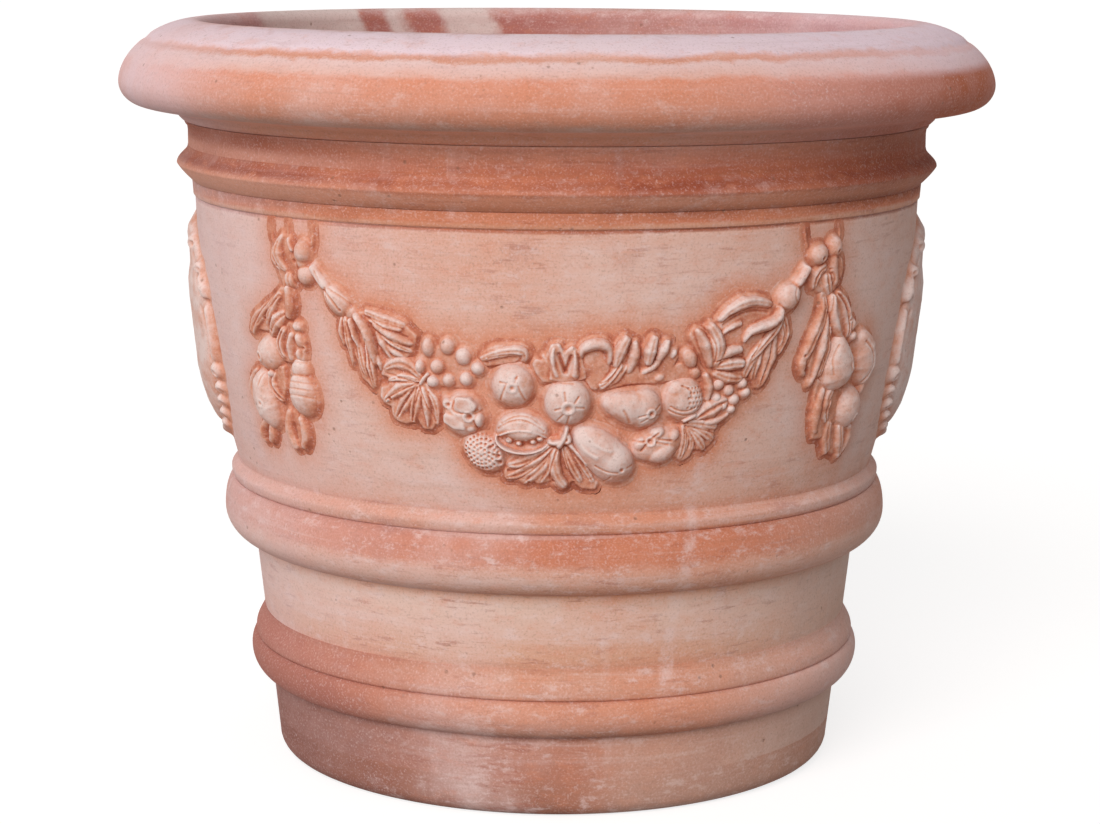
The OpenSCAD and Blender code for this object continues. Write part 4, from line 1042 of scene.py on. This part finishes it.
# Top leaves
# Leaflets that stand up over the fruit: a curled one over the apple, the horns of the pomegranate's
# crown, a hooked one, two forked fronds and a bud.
leaves = leafage("front_top_leaves_clay", [
    cut_leaf([(-10.8, 126), (-10.9, 116), (-9.6, 111), (-7.5, 111), (-5.3, 110), (-4.7, 119),
              (-5.8, 126), (-8.2, 129), (-10.2, 131)], 4.3),
    cut_leaf([(-1.9, 146), (-2.8, 137), (-3.4, 126), (-2.8, 121), (-1.9, 122), (-1.2, 115), (-0.7, 105),
              (0.5, 104), (1.3, 112), (2.4, 106), (3.4, 111), (3.9, 121), (4.6, 142), (1.9, 148)], 6),
    cut_leaf([(-1.0, 112), (-0.7, 105), (0.6, 104), (1.2, 113), (2.4, 106), (3.2, 111), (3.4, 140),
              (1.9, 148), (-1.0, 143), (-0.6, 124)], 9),
    cut_leaf([(4.0, 121), (4.4, 110), (5.9, 106), (7.4, 113), (8.0, 125), (7.9, 134), (6.9, 147),
              (6.0, 156), (5.2, 154), (4.1, 142)], 4),
    cut_leaf([(6.0, 156), (6.9, 144), (8.6, 132), (8.9, 116), (9.9, 98), (11.1, 98), (12.1, 115),
              (12.0, 128), (12.6, 137), (13.4, 127), (12.9, 110), (13.5, 104), (14.7, 96), (15.3, 103),
              (16.7, 102), (16.5, 117), (18.0, 114), (18.3, 121), (17.8, 130), (18.8, 128), (18.5, 118),
              (19.0, 112), (21.1, 118), (22.2, 133), (23.2, 140), (22.3, 150), (20.0, 152), (17.7, 148),
              (14.5, 150), (11.0, 150), (8.4, 154)], 3.2),
    coil([(-10.9, 124), (-8.4, 116), (-5.2, 113), (-4.7, 125)], [3.9, 6.5, 6.5, 3.9], [7.2, 10.8, 12, 7.2],
         fold=0.15),
    coil([(-10.6, 118), (-8.6, 112), (-6.6, 112)], [3.2, 5.2, 3.9], [4.8, 7.2, 6]),
    coil([(0.4, 142), (-0.4, 124), (-0.1, 106)], [5, 4.5, 3], [11, 13, 11]),
    coil([(2.6, 142), (2.8, 126), (2.6, 109)], [5, 4.5, 3], [11, 12, 10]),
    coil([(-1.1, 137), (-1.1, 125), (-2.0, 117)], [5.2, 5.2, 2.6], [4.8, 7.2, 4.8]),
    coil([(-1.9, 148), (-2.0, 136), (-3.2, 128)], [4.5, 4.5, 2.6], [3.6, 6, 3.6]),
    coil([(3.9, 121), (4.5, 108), (7.0, 107), (7.6, 129)], [3.9, 7.2, 7.2, 3.2], [8.4, 13.2, 13.2, 8.4]),
    coil([(8.8, 132), (9.3, 113), (10.5, 97)], [3.9, 7.8, 5.2], [9.6, 14.4, 10.8], fold=0.1),
    coil([(10.4, 138), (11.4, 119), (11.3, 102)], [3.9, 7.2, 3.9], [6, 9.6, 7.2]),
    coil([(6.3, 152), (8.0, 142), (9.6, 125)], [4.5, 5.2, 3.9], [7.2, 9.6, 9.6], fold=0.25),
    coil([(7.5, 150), (9.0, 142), (10.3, 127)], [3.2, 4.5, 3.9], [4.8, 7.2, 7.2]),
    coil([(13.5, 130), (13.7, 114), (14.5, 97)], [3.9, 7.8, 4.5], [9.6, 14.4, 9.6], fold=0.1),
    coil([(14.8, 125), (15.7, 114), (16.4, 102)], [3.9, 6.5, 3.9], [7.2, 12, 8.4]),
    coil([(12.5, 138), (14.3, 131), (15.4, 120)], [2.6, 4.5, 3.9], [4.8, 7.2, 7.2]),
    coil([(17.0, 123), (17.4, 118), (17.5, 113)], [3.2, 3.9, 2.6], [4.8, 7.2, 6]),
    lump((19.9, 124), (12, 9), 11, 115, 0.15), lump((20.9, 139), (8, 6), 8, 130),
    lump((15.4, 143), (7, 5), 6, 20)])
scored(leaves, [(0.5, 116), (1.4, 134)], 5.0, 2.2)
scored(leaves, [(2.2, 118), (1.5, 134)], 4.5, 2.0)
scored(leaves, [(6.6, 147), (8.3, 138), (9.8, 118)], 1.0, 0.8)
scored(leaves, [(10.6, 108), (10.4, 122), (9.6, 136)], 1.2, 0.9)
scored(leaves, [(14.9, 104), (14.6, 118), (14.2, 128)], 1.2, 0.9)
scored(leaves, [(-9.6, 121), (-7.0, 117), (-5.0, 118)], 1.2, 1.0)
hung(leaves, "leaf_clay")

# Right shoulder
# A broad acanthus leaf laid over an older one, and a palmate leaf with its fingers spread upwards.
leaves = leafage("front_right_acanthus_clay", [
    cut_leaf([(24.1, 88), (24.4, 76), (26.1, 67), (28.2, 65), (30.2, 72), (32.5, 74), (34.1, 70),
              (36.2, 82), (35.4, 92), (33.7, 104), (32.0, 117), (30.7, 128), (29.7, 135), (28.6, 122),
              (26.6, 117), (25.3, 119), (24.6, 102)], 4.3),
    cut_leaf([(36.0, 80), (36.5, 94), (36.2, 111), (35.3, 128), (34.2, 131), (33.7, 138), (33.7, 149),
              (32.5, 164), (31.3, 162), (30.1, 148), (29.0, 141), (29.6, 127), (31.7, 112),
              (33.8, 94)], 2.9),
    cut_leaf([(23.8, 168), (23.0, 148), (22.6, 129), (21.0, 117), (19.5, 99), (20.2, 90), (21.7, 90),
              (22.3, 85), (23.8, 88), (24.9, 101), (25.3, 118), (26.6, 115), (28.4, 119), (29.3, 133),
              (29.1, 145), (28.3, 154), (26.2, 159), (24.4, 152)], 4.3),
    cut_leaf([(19.3, 193), (20.0, 186), (21.7, 186), (22.9, 176), (23.9, 171), (25.5, 181), (26.7, 173),
              (27.6, 178), (27.1, 190), (25.3, 196), (22.0, 195)], 4.3),
    coil([(33.2, 73), (27.9, 68), (24.0, 87)], [5.2, 7.8, 4.5], [9.6, 14.4, 9.6], fold=0.1),
    coil([(34.4, 73), (32.8, 91), (29.9, 97), (28.6, 112)], [5.2, 7.8, 6.5, 3.2], [13.2, 16.8, 14.4, 9.6]),
    coil([(28.1, 89), (26.2, 93), (24.6, 101)], [3.9, 4.5, 2.6], [7.2, 9.6, 6]),
    coil([(35.1, 80), (33.6, 101), (30.9, 121), (29.5, 135)], [3.9, 5.9, 6.5, 3.2], [8.4, 10.8, 10.8, 7.2],
         fold=0.2),
    coil([(35.2, 84), (36.1, 105), (34.9, 128)], [3.9, 7.2, 3.9], [4.8, 7.2, 4.8], fold=0.3),
    coil([(33.7, 100), (33.6, 128), (32.3, 162)], [6.5, 10.4, 4.5], [4.8, 7.2, 4.8], fold=0.3),
    coil([(32.2, 112), (31.1, 134), (31.0, 155)], [5.2, 7.8, 3.9], [6, 7.2, 3.6], fold=0.3),
    coil([(31.4, 120), (29.8, 135), (29.3, 150)], [5.2, 7.8, 3.9], [7.2, 8.4, 4.8], fold=0.2),
    coil([(23.2, 136), (22.0, 109), (20.3, 92)], [4.5, 7.2, 3.2], [9.6, 13.2, 9.6]),
    coil([(23.6, 136), (24.0, 110), (22.3, 87)], [5.2, 10.4, 5.9], [9.6, 15.6, 12], fold=0.1),
    coil([(23.6, 133), (25.8, 120), (28.4, 118)], [3.9, 7.8, 5.2], [8.4, 12, 10.8]),
    coil([(23.6, 136), (26.2, 133), (29.1, 133)], [3.9, 8.5, 5.2], [8.4, 12, 10.8], fold=0.15),
    coil([(23.6, 139), (26.2, 147), (29.0, 149)], [3.9, 7.8, 4.5], [7.2, 10.8, 8.4], fold=0.15),
    coil([(22.3, 140), (23.2, 155), (23.2, 172)], [3.9, 6.5, 3.2], [8.4, 10.8, 7.2]),
    coil([(21.4, 191), (23.8, 180), (26.8, 172)], [3.9, 11.7, 6.5], [7.2, 12, 8.4], fold=0.3),
    coil([(21.9, 193), (24.7, 194), (27.3, 185)], [2.6, 5.2, 3.2], [6, 8.4, 6])])
scored(leaves, [(32.4, 80), (28.6, 78), (25.0, 90)], 1.6, 1.3)
scored(leaves, [(33.6, 90), (31.6, 110), (30.0, 126)], 1.2, 1.0)
scored(leaves, [(33.8, 108), (33.4, 130), (32.5, 154)], 1.2, 0.9)
scored(leaves, [(35.3, 94), (35.8, 108), (35.0, 122)], 1.0, 0.9)
scored(leaves, [(24.0, 128), (26.2, 125), (28.6, 126)], 1.4, 1.0)
scored(leaves, [(24.0, 137), (26.4, 140), (28.8, 141)], 1.4, 1.0)
scored(leaves, [(23.6, 128), (23.3, 108), (21.6, 90)], 1.5, 1.1)
hung(leaves, "leaf_clay")
leaf = leafage("front_fan_leaf_clay", [
    cut_leaf([(19.1, 191), (19.8, 204), (19.7, 217), (18.4, 229), (20.0, 237), (21.4, 231), (21.9, 224),
              (23.3, 226), (24.7, 221), (25.4, 209), (24.9, 201), (25.5, 195), (24.1, 189),
              (20.9, 188)], 3.5),
    coil([(19.6, 194), (20.0, 215), (19.4, 235)], [3.5, 6.5, 3.5], [6, 8, 5], fold=0.25),
    coil([(19.7, 194), (21.2, 211), (21.1, 228)], [3, 5.5, 3], [6, 7, 4], fold=0.2),
    coil([(19.9, 194), (22.0, 210), (23.8, 226)], [3.5, 7.5, 4], [6, 8, 5], fold=0.25),
    coil([(20.1, 194), (22.7, 204), (25.2, 216)], [3.5, 7.5, 4], [6, 8, 5], fold=0.25),
    coil([(20.1, 194), (22.6, 196), (25.6, 201)], [3.5, 7, 4], [6, 8, 5], fold=0.2),
    coil([(19.3, 192), (20.2, 188), (21.7, 185)], [3, 3.8, 3], [10, 12, 9])])
for tip in ((20.3, 226), (22.3, 224), (24.4, 219), (25.2, 208)):
    scored(leaf, [(20.0, 197), ((20.4 + tip[0]) / 2, (196 + tip[1]) / 2), tip], 1.1, 0.8)
hung(leaf, "leaf_clay")

# Apple
# A ball of clay with its flower end up: a pinched square eye with creases running out of it.
fruit = one_skin("front_apple_clay", [lump((-6.25, 150), (23.5, 22.5), 18, 90)], lumpy=1.4)
poked(fruit, (-6.1, 151), 2.2, 2.0, 1.0, 4.6)
for path in ([(-7.0, 148), (-7.4, 155), (-7.9, 164)], [(-5.3, 149), (-4.9, 156), (-4.4, 164)],
             [(-5.7, 145), (-5.4, 139)], [(-7.8, 145), (-6.9, 146)]):
    scored(fruit, path, 1.3, 1.1)
poked(fruit, (-5.6, 141), 1.4, 1.6)
hung(fruit, "fruit_clay")

# Pomegranate
# The middle fruit, with a flattened crown, a ring round its eye and cuts where the rind has split.
fruit = one_skin("front_pomegranate_clay", [lump((1.8, 167), (25.5, 25), 20, 90)], lumpy=1.4)
poked(fruit, (1.85, 172), 2.6, 3.0, 1.3, 6.2)
for path in ([(1.3, 155), (1.45, 164)], [(2.75, 166), (3.3, 160)], [(2.9, 171), (4.1, 172)],
             [(0.8, 172), (0.0, 174)], [(1.1, 179), (0.3, 186)], [(2.0, 180), (1.7, 190)]):
    scored(fruit, path, 1.6, 1.0)
scored(fruit, [(0.0, 147), (1.2, 146), (2.5, 147)], 1.3, 1.2)
hung(fruit, "fruit_clay")

# Medlar
# A round fruit with an open face of pressed petals round its eye.
fruit = one_skin("front_medlar_clay", [
    lump((-13.8, 183), (24, 21.5), 15, 80),
    cut_leaf([(-14.6, 163), (-12.4, 163), (-11.3, 172), (-12.0, 180), (-13.6, 181), (-14.6, 176)], 16.5),
    cut_leaf([(-16.4, 181), (-14.8, 183), (-13.4, 190), (-13.2, 199), (-15.0, 198), (-16.6, 191)], 15.5),
    lump((-11.3, 188), (6, 9), 15.5), lump((-16.1, 172), (6, 7), 12), lump((-12.6, 197), (7, 6), 13)],
    lumpy=1.4)
poked(fruit, (-12.6, 184), 3.5, 2.6, 1.6, 5.0)
poked(fruit, (-15.8, 172), 2.4, 1.8, 0.9, 4.0)
for path in ([(-13.9, 180), (-12.9, 180), (-11.4, 177)], [(-14.2, 180), (-15.0, 176), (-14.8, 168)],
             [(-11.9, 181), (-10.9, 178)], [(-12.0, 188), (-11.6, 196)]):
    scored(fruit, path, 1.6, 1.1)
hung(fruit, "fruit_clay")

# Split pod
# A pod burst open along its side: two lips, a hollow between them and six seeds in it.
seeds = ((-6.9, 209), (-5.6, 206), (-5.4, 212), (-4.3, 207), (-3.3, 210), (-2.3, 207))
fruit = one_skin("front_split_pod_clay", [
    lump((-4.9, 200), (29, 22), 16, -12)], slip=0)
scored(fruit, [(-7.6, 207), (-4.9, 213), (-2.0, 209)], 9.0, 5.5)
fruit = one_skin("front_split_pod_clay", [
    fruit, coil([(-8.8, 203), (-7.5, 218), (-3.9, 222), (-0.9, 211)], [1.8, 2.6, 2.6, 1.5], [10, 16, 15, 9]),
    coil([(-8.6, 205), (-6.2, 198), (-3.7, 198), (-1.1, 207)], [1.8, 2.6, 2.6, 1.5], [12, 17, 17, 9])]
    + [lump(seed, (4.2, 3.4), 13) for seed in seeds], grain=0.9, rubs=4, lumpy=0.8)
scored(fruit, [(-8.4, 196), (-5.1, 186), (-1.7, 198)], 1.3, 1.1)
scored(fruit, [(-7.8, 190), (-4.8, 182), (-2.2, 192)], 1.0, 1.1)
hung(fruit, "fruit_clay")

# Pine cone
# A small cone pressed all over with the end of a stick, so that it looks like open scales.
fruit = one_skin("front_pine_cone_clay", [lump((-10.9, 224), (25, 19), 14, -42, 0.1)], rubs=4, lumpy=1.8)
for ring in range(1, 5):
    for step in range(6 * ring):
        around = 2 * math.pi * (step + 0.5 * (ring % 2)) / (6 * ring)
        stray = 0.8 * math.sin(7 * step + 3 * ring)
        place = (-11.0 + (0.62 * ring + 0.15 * stray) * math.cos(around),
                 222 + (4.6 * ring + stray) * math.sin(around))
        poked(fruit, place, 1.7 + 0.7 * stray, 1.4, 0.6, 2.6)
for place in ((-8.6, 226), (-8.4, 233), (-9.6, 217)):
    poked(fruit, place, 3.0, 2.2, 1.2, 4.2)
hung(fruit, "fruit_clay")

# Quince
# The longest fruit, plump at its lower end, with a poked eye and the crease of its flower.
fruit = one_skin("front_quince_clay", [
    lump((7.3, 224), (41, 25), 20, -42, 0.15), lump((8.8, 232), (25, 22), 21, -42)], lumpy=1.4)
poked(fruit, (9.9, 240), 2.4, 2.2)
for path in ([(6.0, 235), (7.6, 241), (9.3, 243)], [(8.4, 248), (7.6, 256)], [(10.8, 238), (11.6, 236)]):
    scored(fruit, path, 1.3, 1.1)
scored(fruit, [(2.9, 203), (4.0, 216), (6.0, 226)], -1.2, 2.2)
scored(fruit, [(4.4, 202), (5.8, 212), (8.0, 219)], -0.9, 2.2)
hung(fruit, "fruit_clay")

# Pear
# Laid on its side, narrow to the left, with the eye of its flower raised at the fat end.
fruit = one_skin("front_pear_clay", [
    lump((11.4, 174), (33, 23.5), 18, -12, 0.35), lump((13.0, 175), (21, 22), 18)], lumpy=1.4)
poked(fruit, (14.0, 180), 2.8, 1.9, 1.4, 4.6)
scored(fruit, [(9.9, 176), (10.4, 182), (10.9, 189)], 1.3, 1.6)
for path in ([(12.2, 183), (13.2, 181)], [(12.6, 189), (13.5, 185)], [(14.6, 176), (15.4, 172)],
             [(14.8, 182), (15.9, 183)]):
    scored(fruit, path, 1.2, 1.0)
hung(fruit, "fruit_clay")

# Star fruit
# A squat fruit with a pinched star at its eye and a swollen lower half.
fruit = one_skin("front_star_fruit_clay", [
    lump((15.8, 216), (29, 18), 13, 14), lump((16.4, 224), (18, 12), 16.5, 20),
                                           lump((15.4, 203), (10, 7), 14, 20),
    lump((17.9, 207), (10, 8), 13, 40), lump((13.0, 214), (9, 7), 12, 60)], lumpy=1.4)
poked(fruit, (14.3, 211), 2.4, 2.2, 1.5, 4.6)
for path in ([(13.4, 211), (11.9, 211)], [(13.7, 214), (13.1, 221)], [(15.2, 212), (17.0, 215)],
             [(14.6, 207), (15.4, 202)], [(15.6, 209), (17.6, 211)]):
    scored(fruit, path, 1.8, 1.2)
hung(fruit, "fruit_clay")

# Rough fruit
# A knobbly fruit, wrinkled underneath and pricked all over its right side.
fruit = one_skin("front_rough_fruit_clay", [
    lump((19.4, 168), (24, 22), 15, -80), lump((18.4, 158), (13, 12), 13)], rubs=4, lumpy=1.8)
for row in range(5):
    for step in range(5):
        poked(fruit, (19.6 + 0.62 * step + 0.3 * (row % 2), 155 + 5.2 * row), 1.3, 1.3)
for path in ([(17.0, 178), (19.4, 184), (21.6, 180)], [(17.2, 174), (19.0, 179), (20.8, 176)],
             [(18.6, 152), (20.0, 158), (19.8, 166)]):
    scored(fruit, path, 1.3, 1.0)
hung(fruit, "fruit_clay")

# Bottom leaves
# A torn leaf that hangs under the middle of the garland, with the twigs that tie the fruit together.
leaves = leafage("front_bottom_leaves_clay", [
    cut_leaf([(-0.5, 209), (-2.0, 217), (-4.0, 223), (-6.5, 225), (-7.3, 231), (-7.2, 237), (-8.0, 244),
              (-7.9, 252), (-6.1, 252), (-4.9, 258), (-3.7, 253), (-2.5, 258), (-1.2, 256), (-0.5, 253),
              (0.1, 244), (0.9, 246), (1.3, 262), (2.3, 260), (2.6, 255), (4.3, 263), (6.4, 265),
              (6.8, 256), (5.1, 246), (3.5, 230), (2.5, 211)], 3.6),
    coil([(-0.3, 214), (-3.6, 230), (-7.4, 237)], [5.2, 10.4, 3.9], [8.4, 10.8, 7.2], fold=0.25),
    coil([(-0.3, 217), (-3.8, 240), (-7.9, 251)], [5.2, 10.4, 3.2], [6, 8.4, 4.8], fold=0.3),
    coil([(-0.1, 218), (-2.5, 240), (-5.2, 257)], [5.2, 10.4, 3.9], [6, 8.4, 4.8], fold=0.3),
    coil([(0.0, 218), (-1.0, 238), (-2.6, 257)], [5.2, 8.5, 3.9], [6, 8.4, 4.8], fold=0.3),
    coil([(0.4, 215), (0.0, 240), (1.9, 261)], [5.2, 7.8, 5.9], [9.6, 12, 10.8], fold=0.1),
    coil([(1.2, 214), (2.5, 236), (4.2, 256)], [3.9, 7.2, 3.9], [7.2, 9.6, 6], fold=0.2),
    coil([(1.7, 213), (3.7, 231), (6.1, 258)], [3.9, 7.2, 3.9], [7.2, 9.6, 6], fold=0.2),
    coil([(0.2, 216), (1.2, 207), (1.8, 192)], [4.2, 3.6, 2.9], [14.4, 16.8, 14.4]),
    coil([(1.0, 209), (2.0, 209), (1.7, 200)], [3.4, 3.4, 2.9], [13.2, 15.6, 13.2]),
    coil([(-1.2, 209), (0.0, 211), (1.2, 208)], [3.4, 3.9, 3.4], [12, 14.4, 14.4]),
    coil([(1.5, 208), (3.3, 222), (5.0, 238)], [3.1, 3.4, 2.1], [10.8, 13.2, 10.8])])
for path in ([(-0.8, 217), (-4.0, 234), (-7.0, 244)], [(-0.5, 219), (-3.2, 240), (-6.2, 254)],
             [(0.2, 220), (-0.6, 238), (-0.8, 252)], [(1.2, 216), (1.9, 236), (3.0, 252)],
             [(2.0, 216), (3.4, 234), (5.2, 252)]):
    scored(leaves, path, 1.3, 0.9)
for place in ((-7.2, 243), (-4.0, 256), (-0.2, 254), (2.9, 256)):
    poked(leaves, place, 1.8, 1.8)
hung(leaves, "leaf_clay")

# Side shields
# A wide bowed field under one big scroll, its edges rolled up and curled into smaller ones all the
# way down. Each is made on the board like the sprigs, and one goes on each side of the pot.
body = [coil([(0, 6), (0, 137), (0, 268)], [26, 58, 86, 106, 115, 119, 121, 121, 120, 116, 108, 94, 70, 34],
             [3, 14, 12.5, 13, 17.5, 18.5, 19, 19.6, 21, 22.5, 22, 20, 15.5, 5], flat=2.2),
        coil([(-7.6, 40), (0, 35), (7.6, 40)], [12, 17, 12], [11, 15, 11])]
for side in (-1, 1):
    body += [lump((side * 8.6, 42), (11, 12), 13), lump((side * 14.4, 66), (9, 8), 12),
             coil([(side * 15.0, 72), (side * 16.5, 88), (side * 16.9, 100)], [5, 8, 4], [9, 12, 8]),
             coil([(side * 16.6, 106), (side * 17.8, 138), (side * 17.3, 172)], [6, 5, 6], [9, 10, 11]),
             lump((side * 17.0, 181), (12, 11), 13), lump((side * 16.4, 201), (9, 8), 11.5),
             lump((side * 15.4, 217), (9, 8), 11), lump((side * 13.8, 233), (9, 8), 10.5),
             lump((side * 11.8, 247), (8, 7), 10),
             coil([(side * 12.2, 245), (side * 7.4, 259), (0, 267)], [5, 6, 6], [9, 10, 9])]
shield = one_skin("left_shield_clay", body, grain=1.9, rubs=2, lumpy=0.8)
for side in (-1, 1):
    poked(shield, (side * 9.4, 43), 5.0, 3.6)
    poked(shield, (side * 15.0, 67), 3.4, 2.6)
    poked(shield, (side * 17.2, 102), 4.5, 3.6)
    poked(shield, (side * 17.4, 184), 4.5, 3.2)
    for across, drop in ((16.9, 205), (15.8, 221), (14.1, 237)):
        poked(shield, (side * across, drop), 3.6, 2.8)
    scored(shield, [(side * 10.4, 53), (side * 13.2, 72), (side * 14.8, 94)], 1.8, 3.0)
    scored(shield, [(side * 15.0, 110), (side * 16.1, 138), (side * 15.6, 168)], 2.4, 3.0)
    scored(shield, [(side * 15.2, 188), (side * 13.8, 216), (side * 10.2, 244)], 1.8, 3.0)
slipped(shield)
other_shield = copy_of(shield, "right_shield_clay")
reshape(shield, lambda p: bent_on(p, -math.pi / 2))
reshape(other_shield, lambda p: bent_on(p, math.pi / 2))
stands_for(shield)
stands_for(other_shield)

# Slip round the relief
# The wet slip that held the sprigs on burned orange, deepest between the fruit and fading out over
# the wall, and the highs were rubbed pale by hands and weather.
STAIN_REACH = 0.030
close_by = []
for each, slot in sprigs:
    close_by += points_of(each)[::9].tolist()
edges = kdtree.KDTree(len(close_by))
for point in close_by:
    edges.insert(point, 0)
edges.balance()
places = points_of(upper_wall)
away = np.array([edges.find(place)[2] for place in places])
aside = np.degrees(np.arctan2(np.abs(places[:, 0]), np.abs(places[:, 1])))
less_at_bunches = 1 - 0.4 * np.clip((aside - 26) / 12, 0, 1)
note_on(upper_wall, "stain", np.clip(1 - away / STAIN_REACH, 0, 1) ** 1.5 * less_at_bunches)


def pressed_clay(name, lift):
    """Relief clay: deep orange in hollows and low edges, whitish on highs, with painted light from the upper
    left.
    """
    clay, tree, where, mark = new_clay(name)
    proud, hollow, painted_light_up_left = (put(tree, "ShaderNodeAttribute", attribute_name=noted).outputs["Fac"]
                             for noted in ("proud", "hollow", "painted_light_up_left"))
    # The way each point faces paints light on the relief's upper left and shade on its lower right.
    tone = weighed(tree, lift - 0.92, (proud, 0.018), (hollow, -0.80), (painted_light_up_left, 0.17), (mark["Mottle"], 0.4),
                   (cloud(tree, where, 38, 5, 0.66), 1.35), (mark["Grit"], 0.10))
    tone = sums(tree, "SUBTRACT", tone, from_to(tree, proud, 5.0, 0.5, 0.08), True)
    colour = coloured_by(tree, tone, [
        (0, shade(168, 92, 68)), (0.20, shade(194, 116, 88)), (0.42, shade(214, 146, 118)),
        (0.62, shade(221, 168, 148)), (0.82, shade(228, 190, 178)), (1, shade(234, 208, 200))])
    return finish_clay(clay, colour, mark, mark["Mottle"])


leaf_clay = pressed_clay("leaf clay", 0.33)
fruit_clay = pressed_clay("fruit clay", 0.48)
shield_clay = pressed_clay("shield clay", 0.60)
for each, slot in sprigs:
    coated(each, leaf_clay if slot == "leaf_clay" else fruit_clay)
coated(shield, shield_clay)
coated(other_shield, shield_clay)

# Stand, light and camera
# A plain pale floor under a pale sky, a soft lamp in front, a weak one at the left, and the photograph's
# own angle.
FLOOR_SIZE = 60
PAPER_GLOW = 0.76
SKY_LIGHT = 0.31


def looked_at(tree):
    """One where a thing is seen by the camera, straight or in a gloss or a glass, and else nothing."""
    seen = put(tree, "ShaderNodeLightPath").outputs
    straight = sums(tree, "MAXIMUM", seen["Is Camera Ray"], seen["Is Glossy Ray"])
    return plus(tree, straight, seen["Is Transmission Ray"], True)


chosen()
bpy.ops.mesh.primitive_plane_add(size=FLOOR_SIZE, location=(0, 0, 0))
floor = bpy.context.object
floor.name = "floor"
paper = bpy.data.materials.new("paper floor")
paper.use_nodes = True
tree = paper.node_tree
tree.nodes.remove(tree.nodes["Principled BSDF"])
glow = put(tree, "ShaderNodeEmission", {"Color": (1, 1, 1, 1),
                                        "Strength": times(tree, looked_at(tree), PAPER_GLOW)})
sheet = put(tree, "ShaderNodeBsdfDiffuse", {"Color": (0.42, 0.40, 0.39, 1)})
both = put(tree, "ShaderNodeAddShader", {0: sheet.outputs[0], 1: glow.outputs[0]})
tree.links.new(both.outputs[0], tree.nodes["Material Output"].inputs["Surface"])
coated(floor, paper)

sky = bpy.data.worlds.new("pale sky")
bpy.context.scene.world = sky
sky.use_nodes = True
tree = sky.node_tree
tree.nodes.clear()
dim = put(tree, "ShaderNodeBackground", {"Color": (1, 0.99, 0.98, 1), "Strength": SKY_LIGHT})
white = put(tree, "ShaderNodeBackground", {"Color": (1, 1, 1, 1), "Strength": 1.0})
shown = put(tree, "ShaderNodeMixShader", {0: looked_at(tree), 1: dim.outputs[0], 2: white.outputs[0]})
tree.links.new(shown.outputs[0], put(tree, "ShaderNodeOutputWorld").inputs["Surface"])

LAMP_TURN, LAMP_UP = -18, 28
LAMP_STRENGTH, LAMP_SOFT = 2.35, 40
SIDE_TURN, SIDE_UP, SIDE_STRENGTH = -98, 12, 0.55
for name, turn, up, strength in (("window", LAMP_TURN, LAMP_UP, LAMP_STRENGTH),
                                 ("side window", SIDE_TURN, SIDE_UP, SIDE_STRENGTH)):
    lamp = bpy.data.lights.new(name, "SUN")
    lamp.energy, lamp.angle = strength, math.radians(LAMP_SOFT)
    window = bpy.data.objects.new(name, lamp)
    bpy.context.scene.collection.objects.link(window)
    turn, up = math.radians(turn), math.radians(up)
    toward = Vector((math.sin(turn) * math.cos(up), -math.cos(turn) * math.cos(up), math.sin(up)))
    window.matrix_world = toward.to_track_quat("Z", "Y").to_matrix().to_4x4()

CAMERA_BACK, CAMERA_UP, CAMERA_SIDE = 3.3546, 0.9782, -0.0055
LOOK_DOWN, LEAN = 0.17286, 0.0040
LENS = 94.83
eye = bpy.data.cameras.new("eye")
eye.lens, eye.sensor_width = LENS, 36
camera = bpy.data.objects.new("eye", eye)
bpy.context.scene.collection.objects.link(camera)
camera.matrix_world = (Matrix.Translation((CAMERA_SIDE, -CAMERA_BACK, CAMERA_UP))
                       @ Matrix.Rotation(math.pi / 2 - LOOK_DOWN, 4, "X") @ Matrix.Rotation(LEAN, 4, "Z"))
bpy.context.scene.camera = camera

bpy.context.scene.view_settings.view_transform = "Standard"
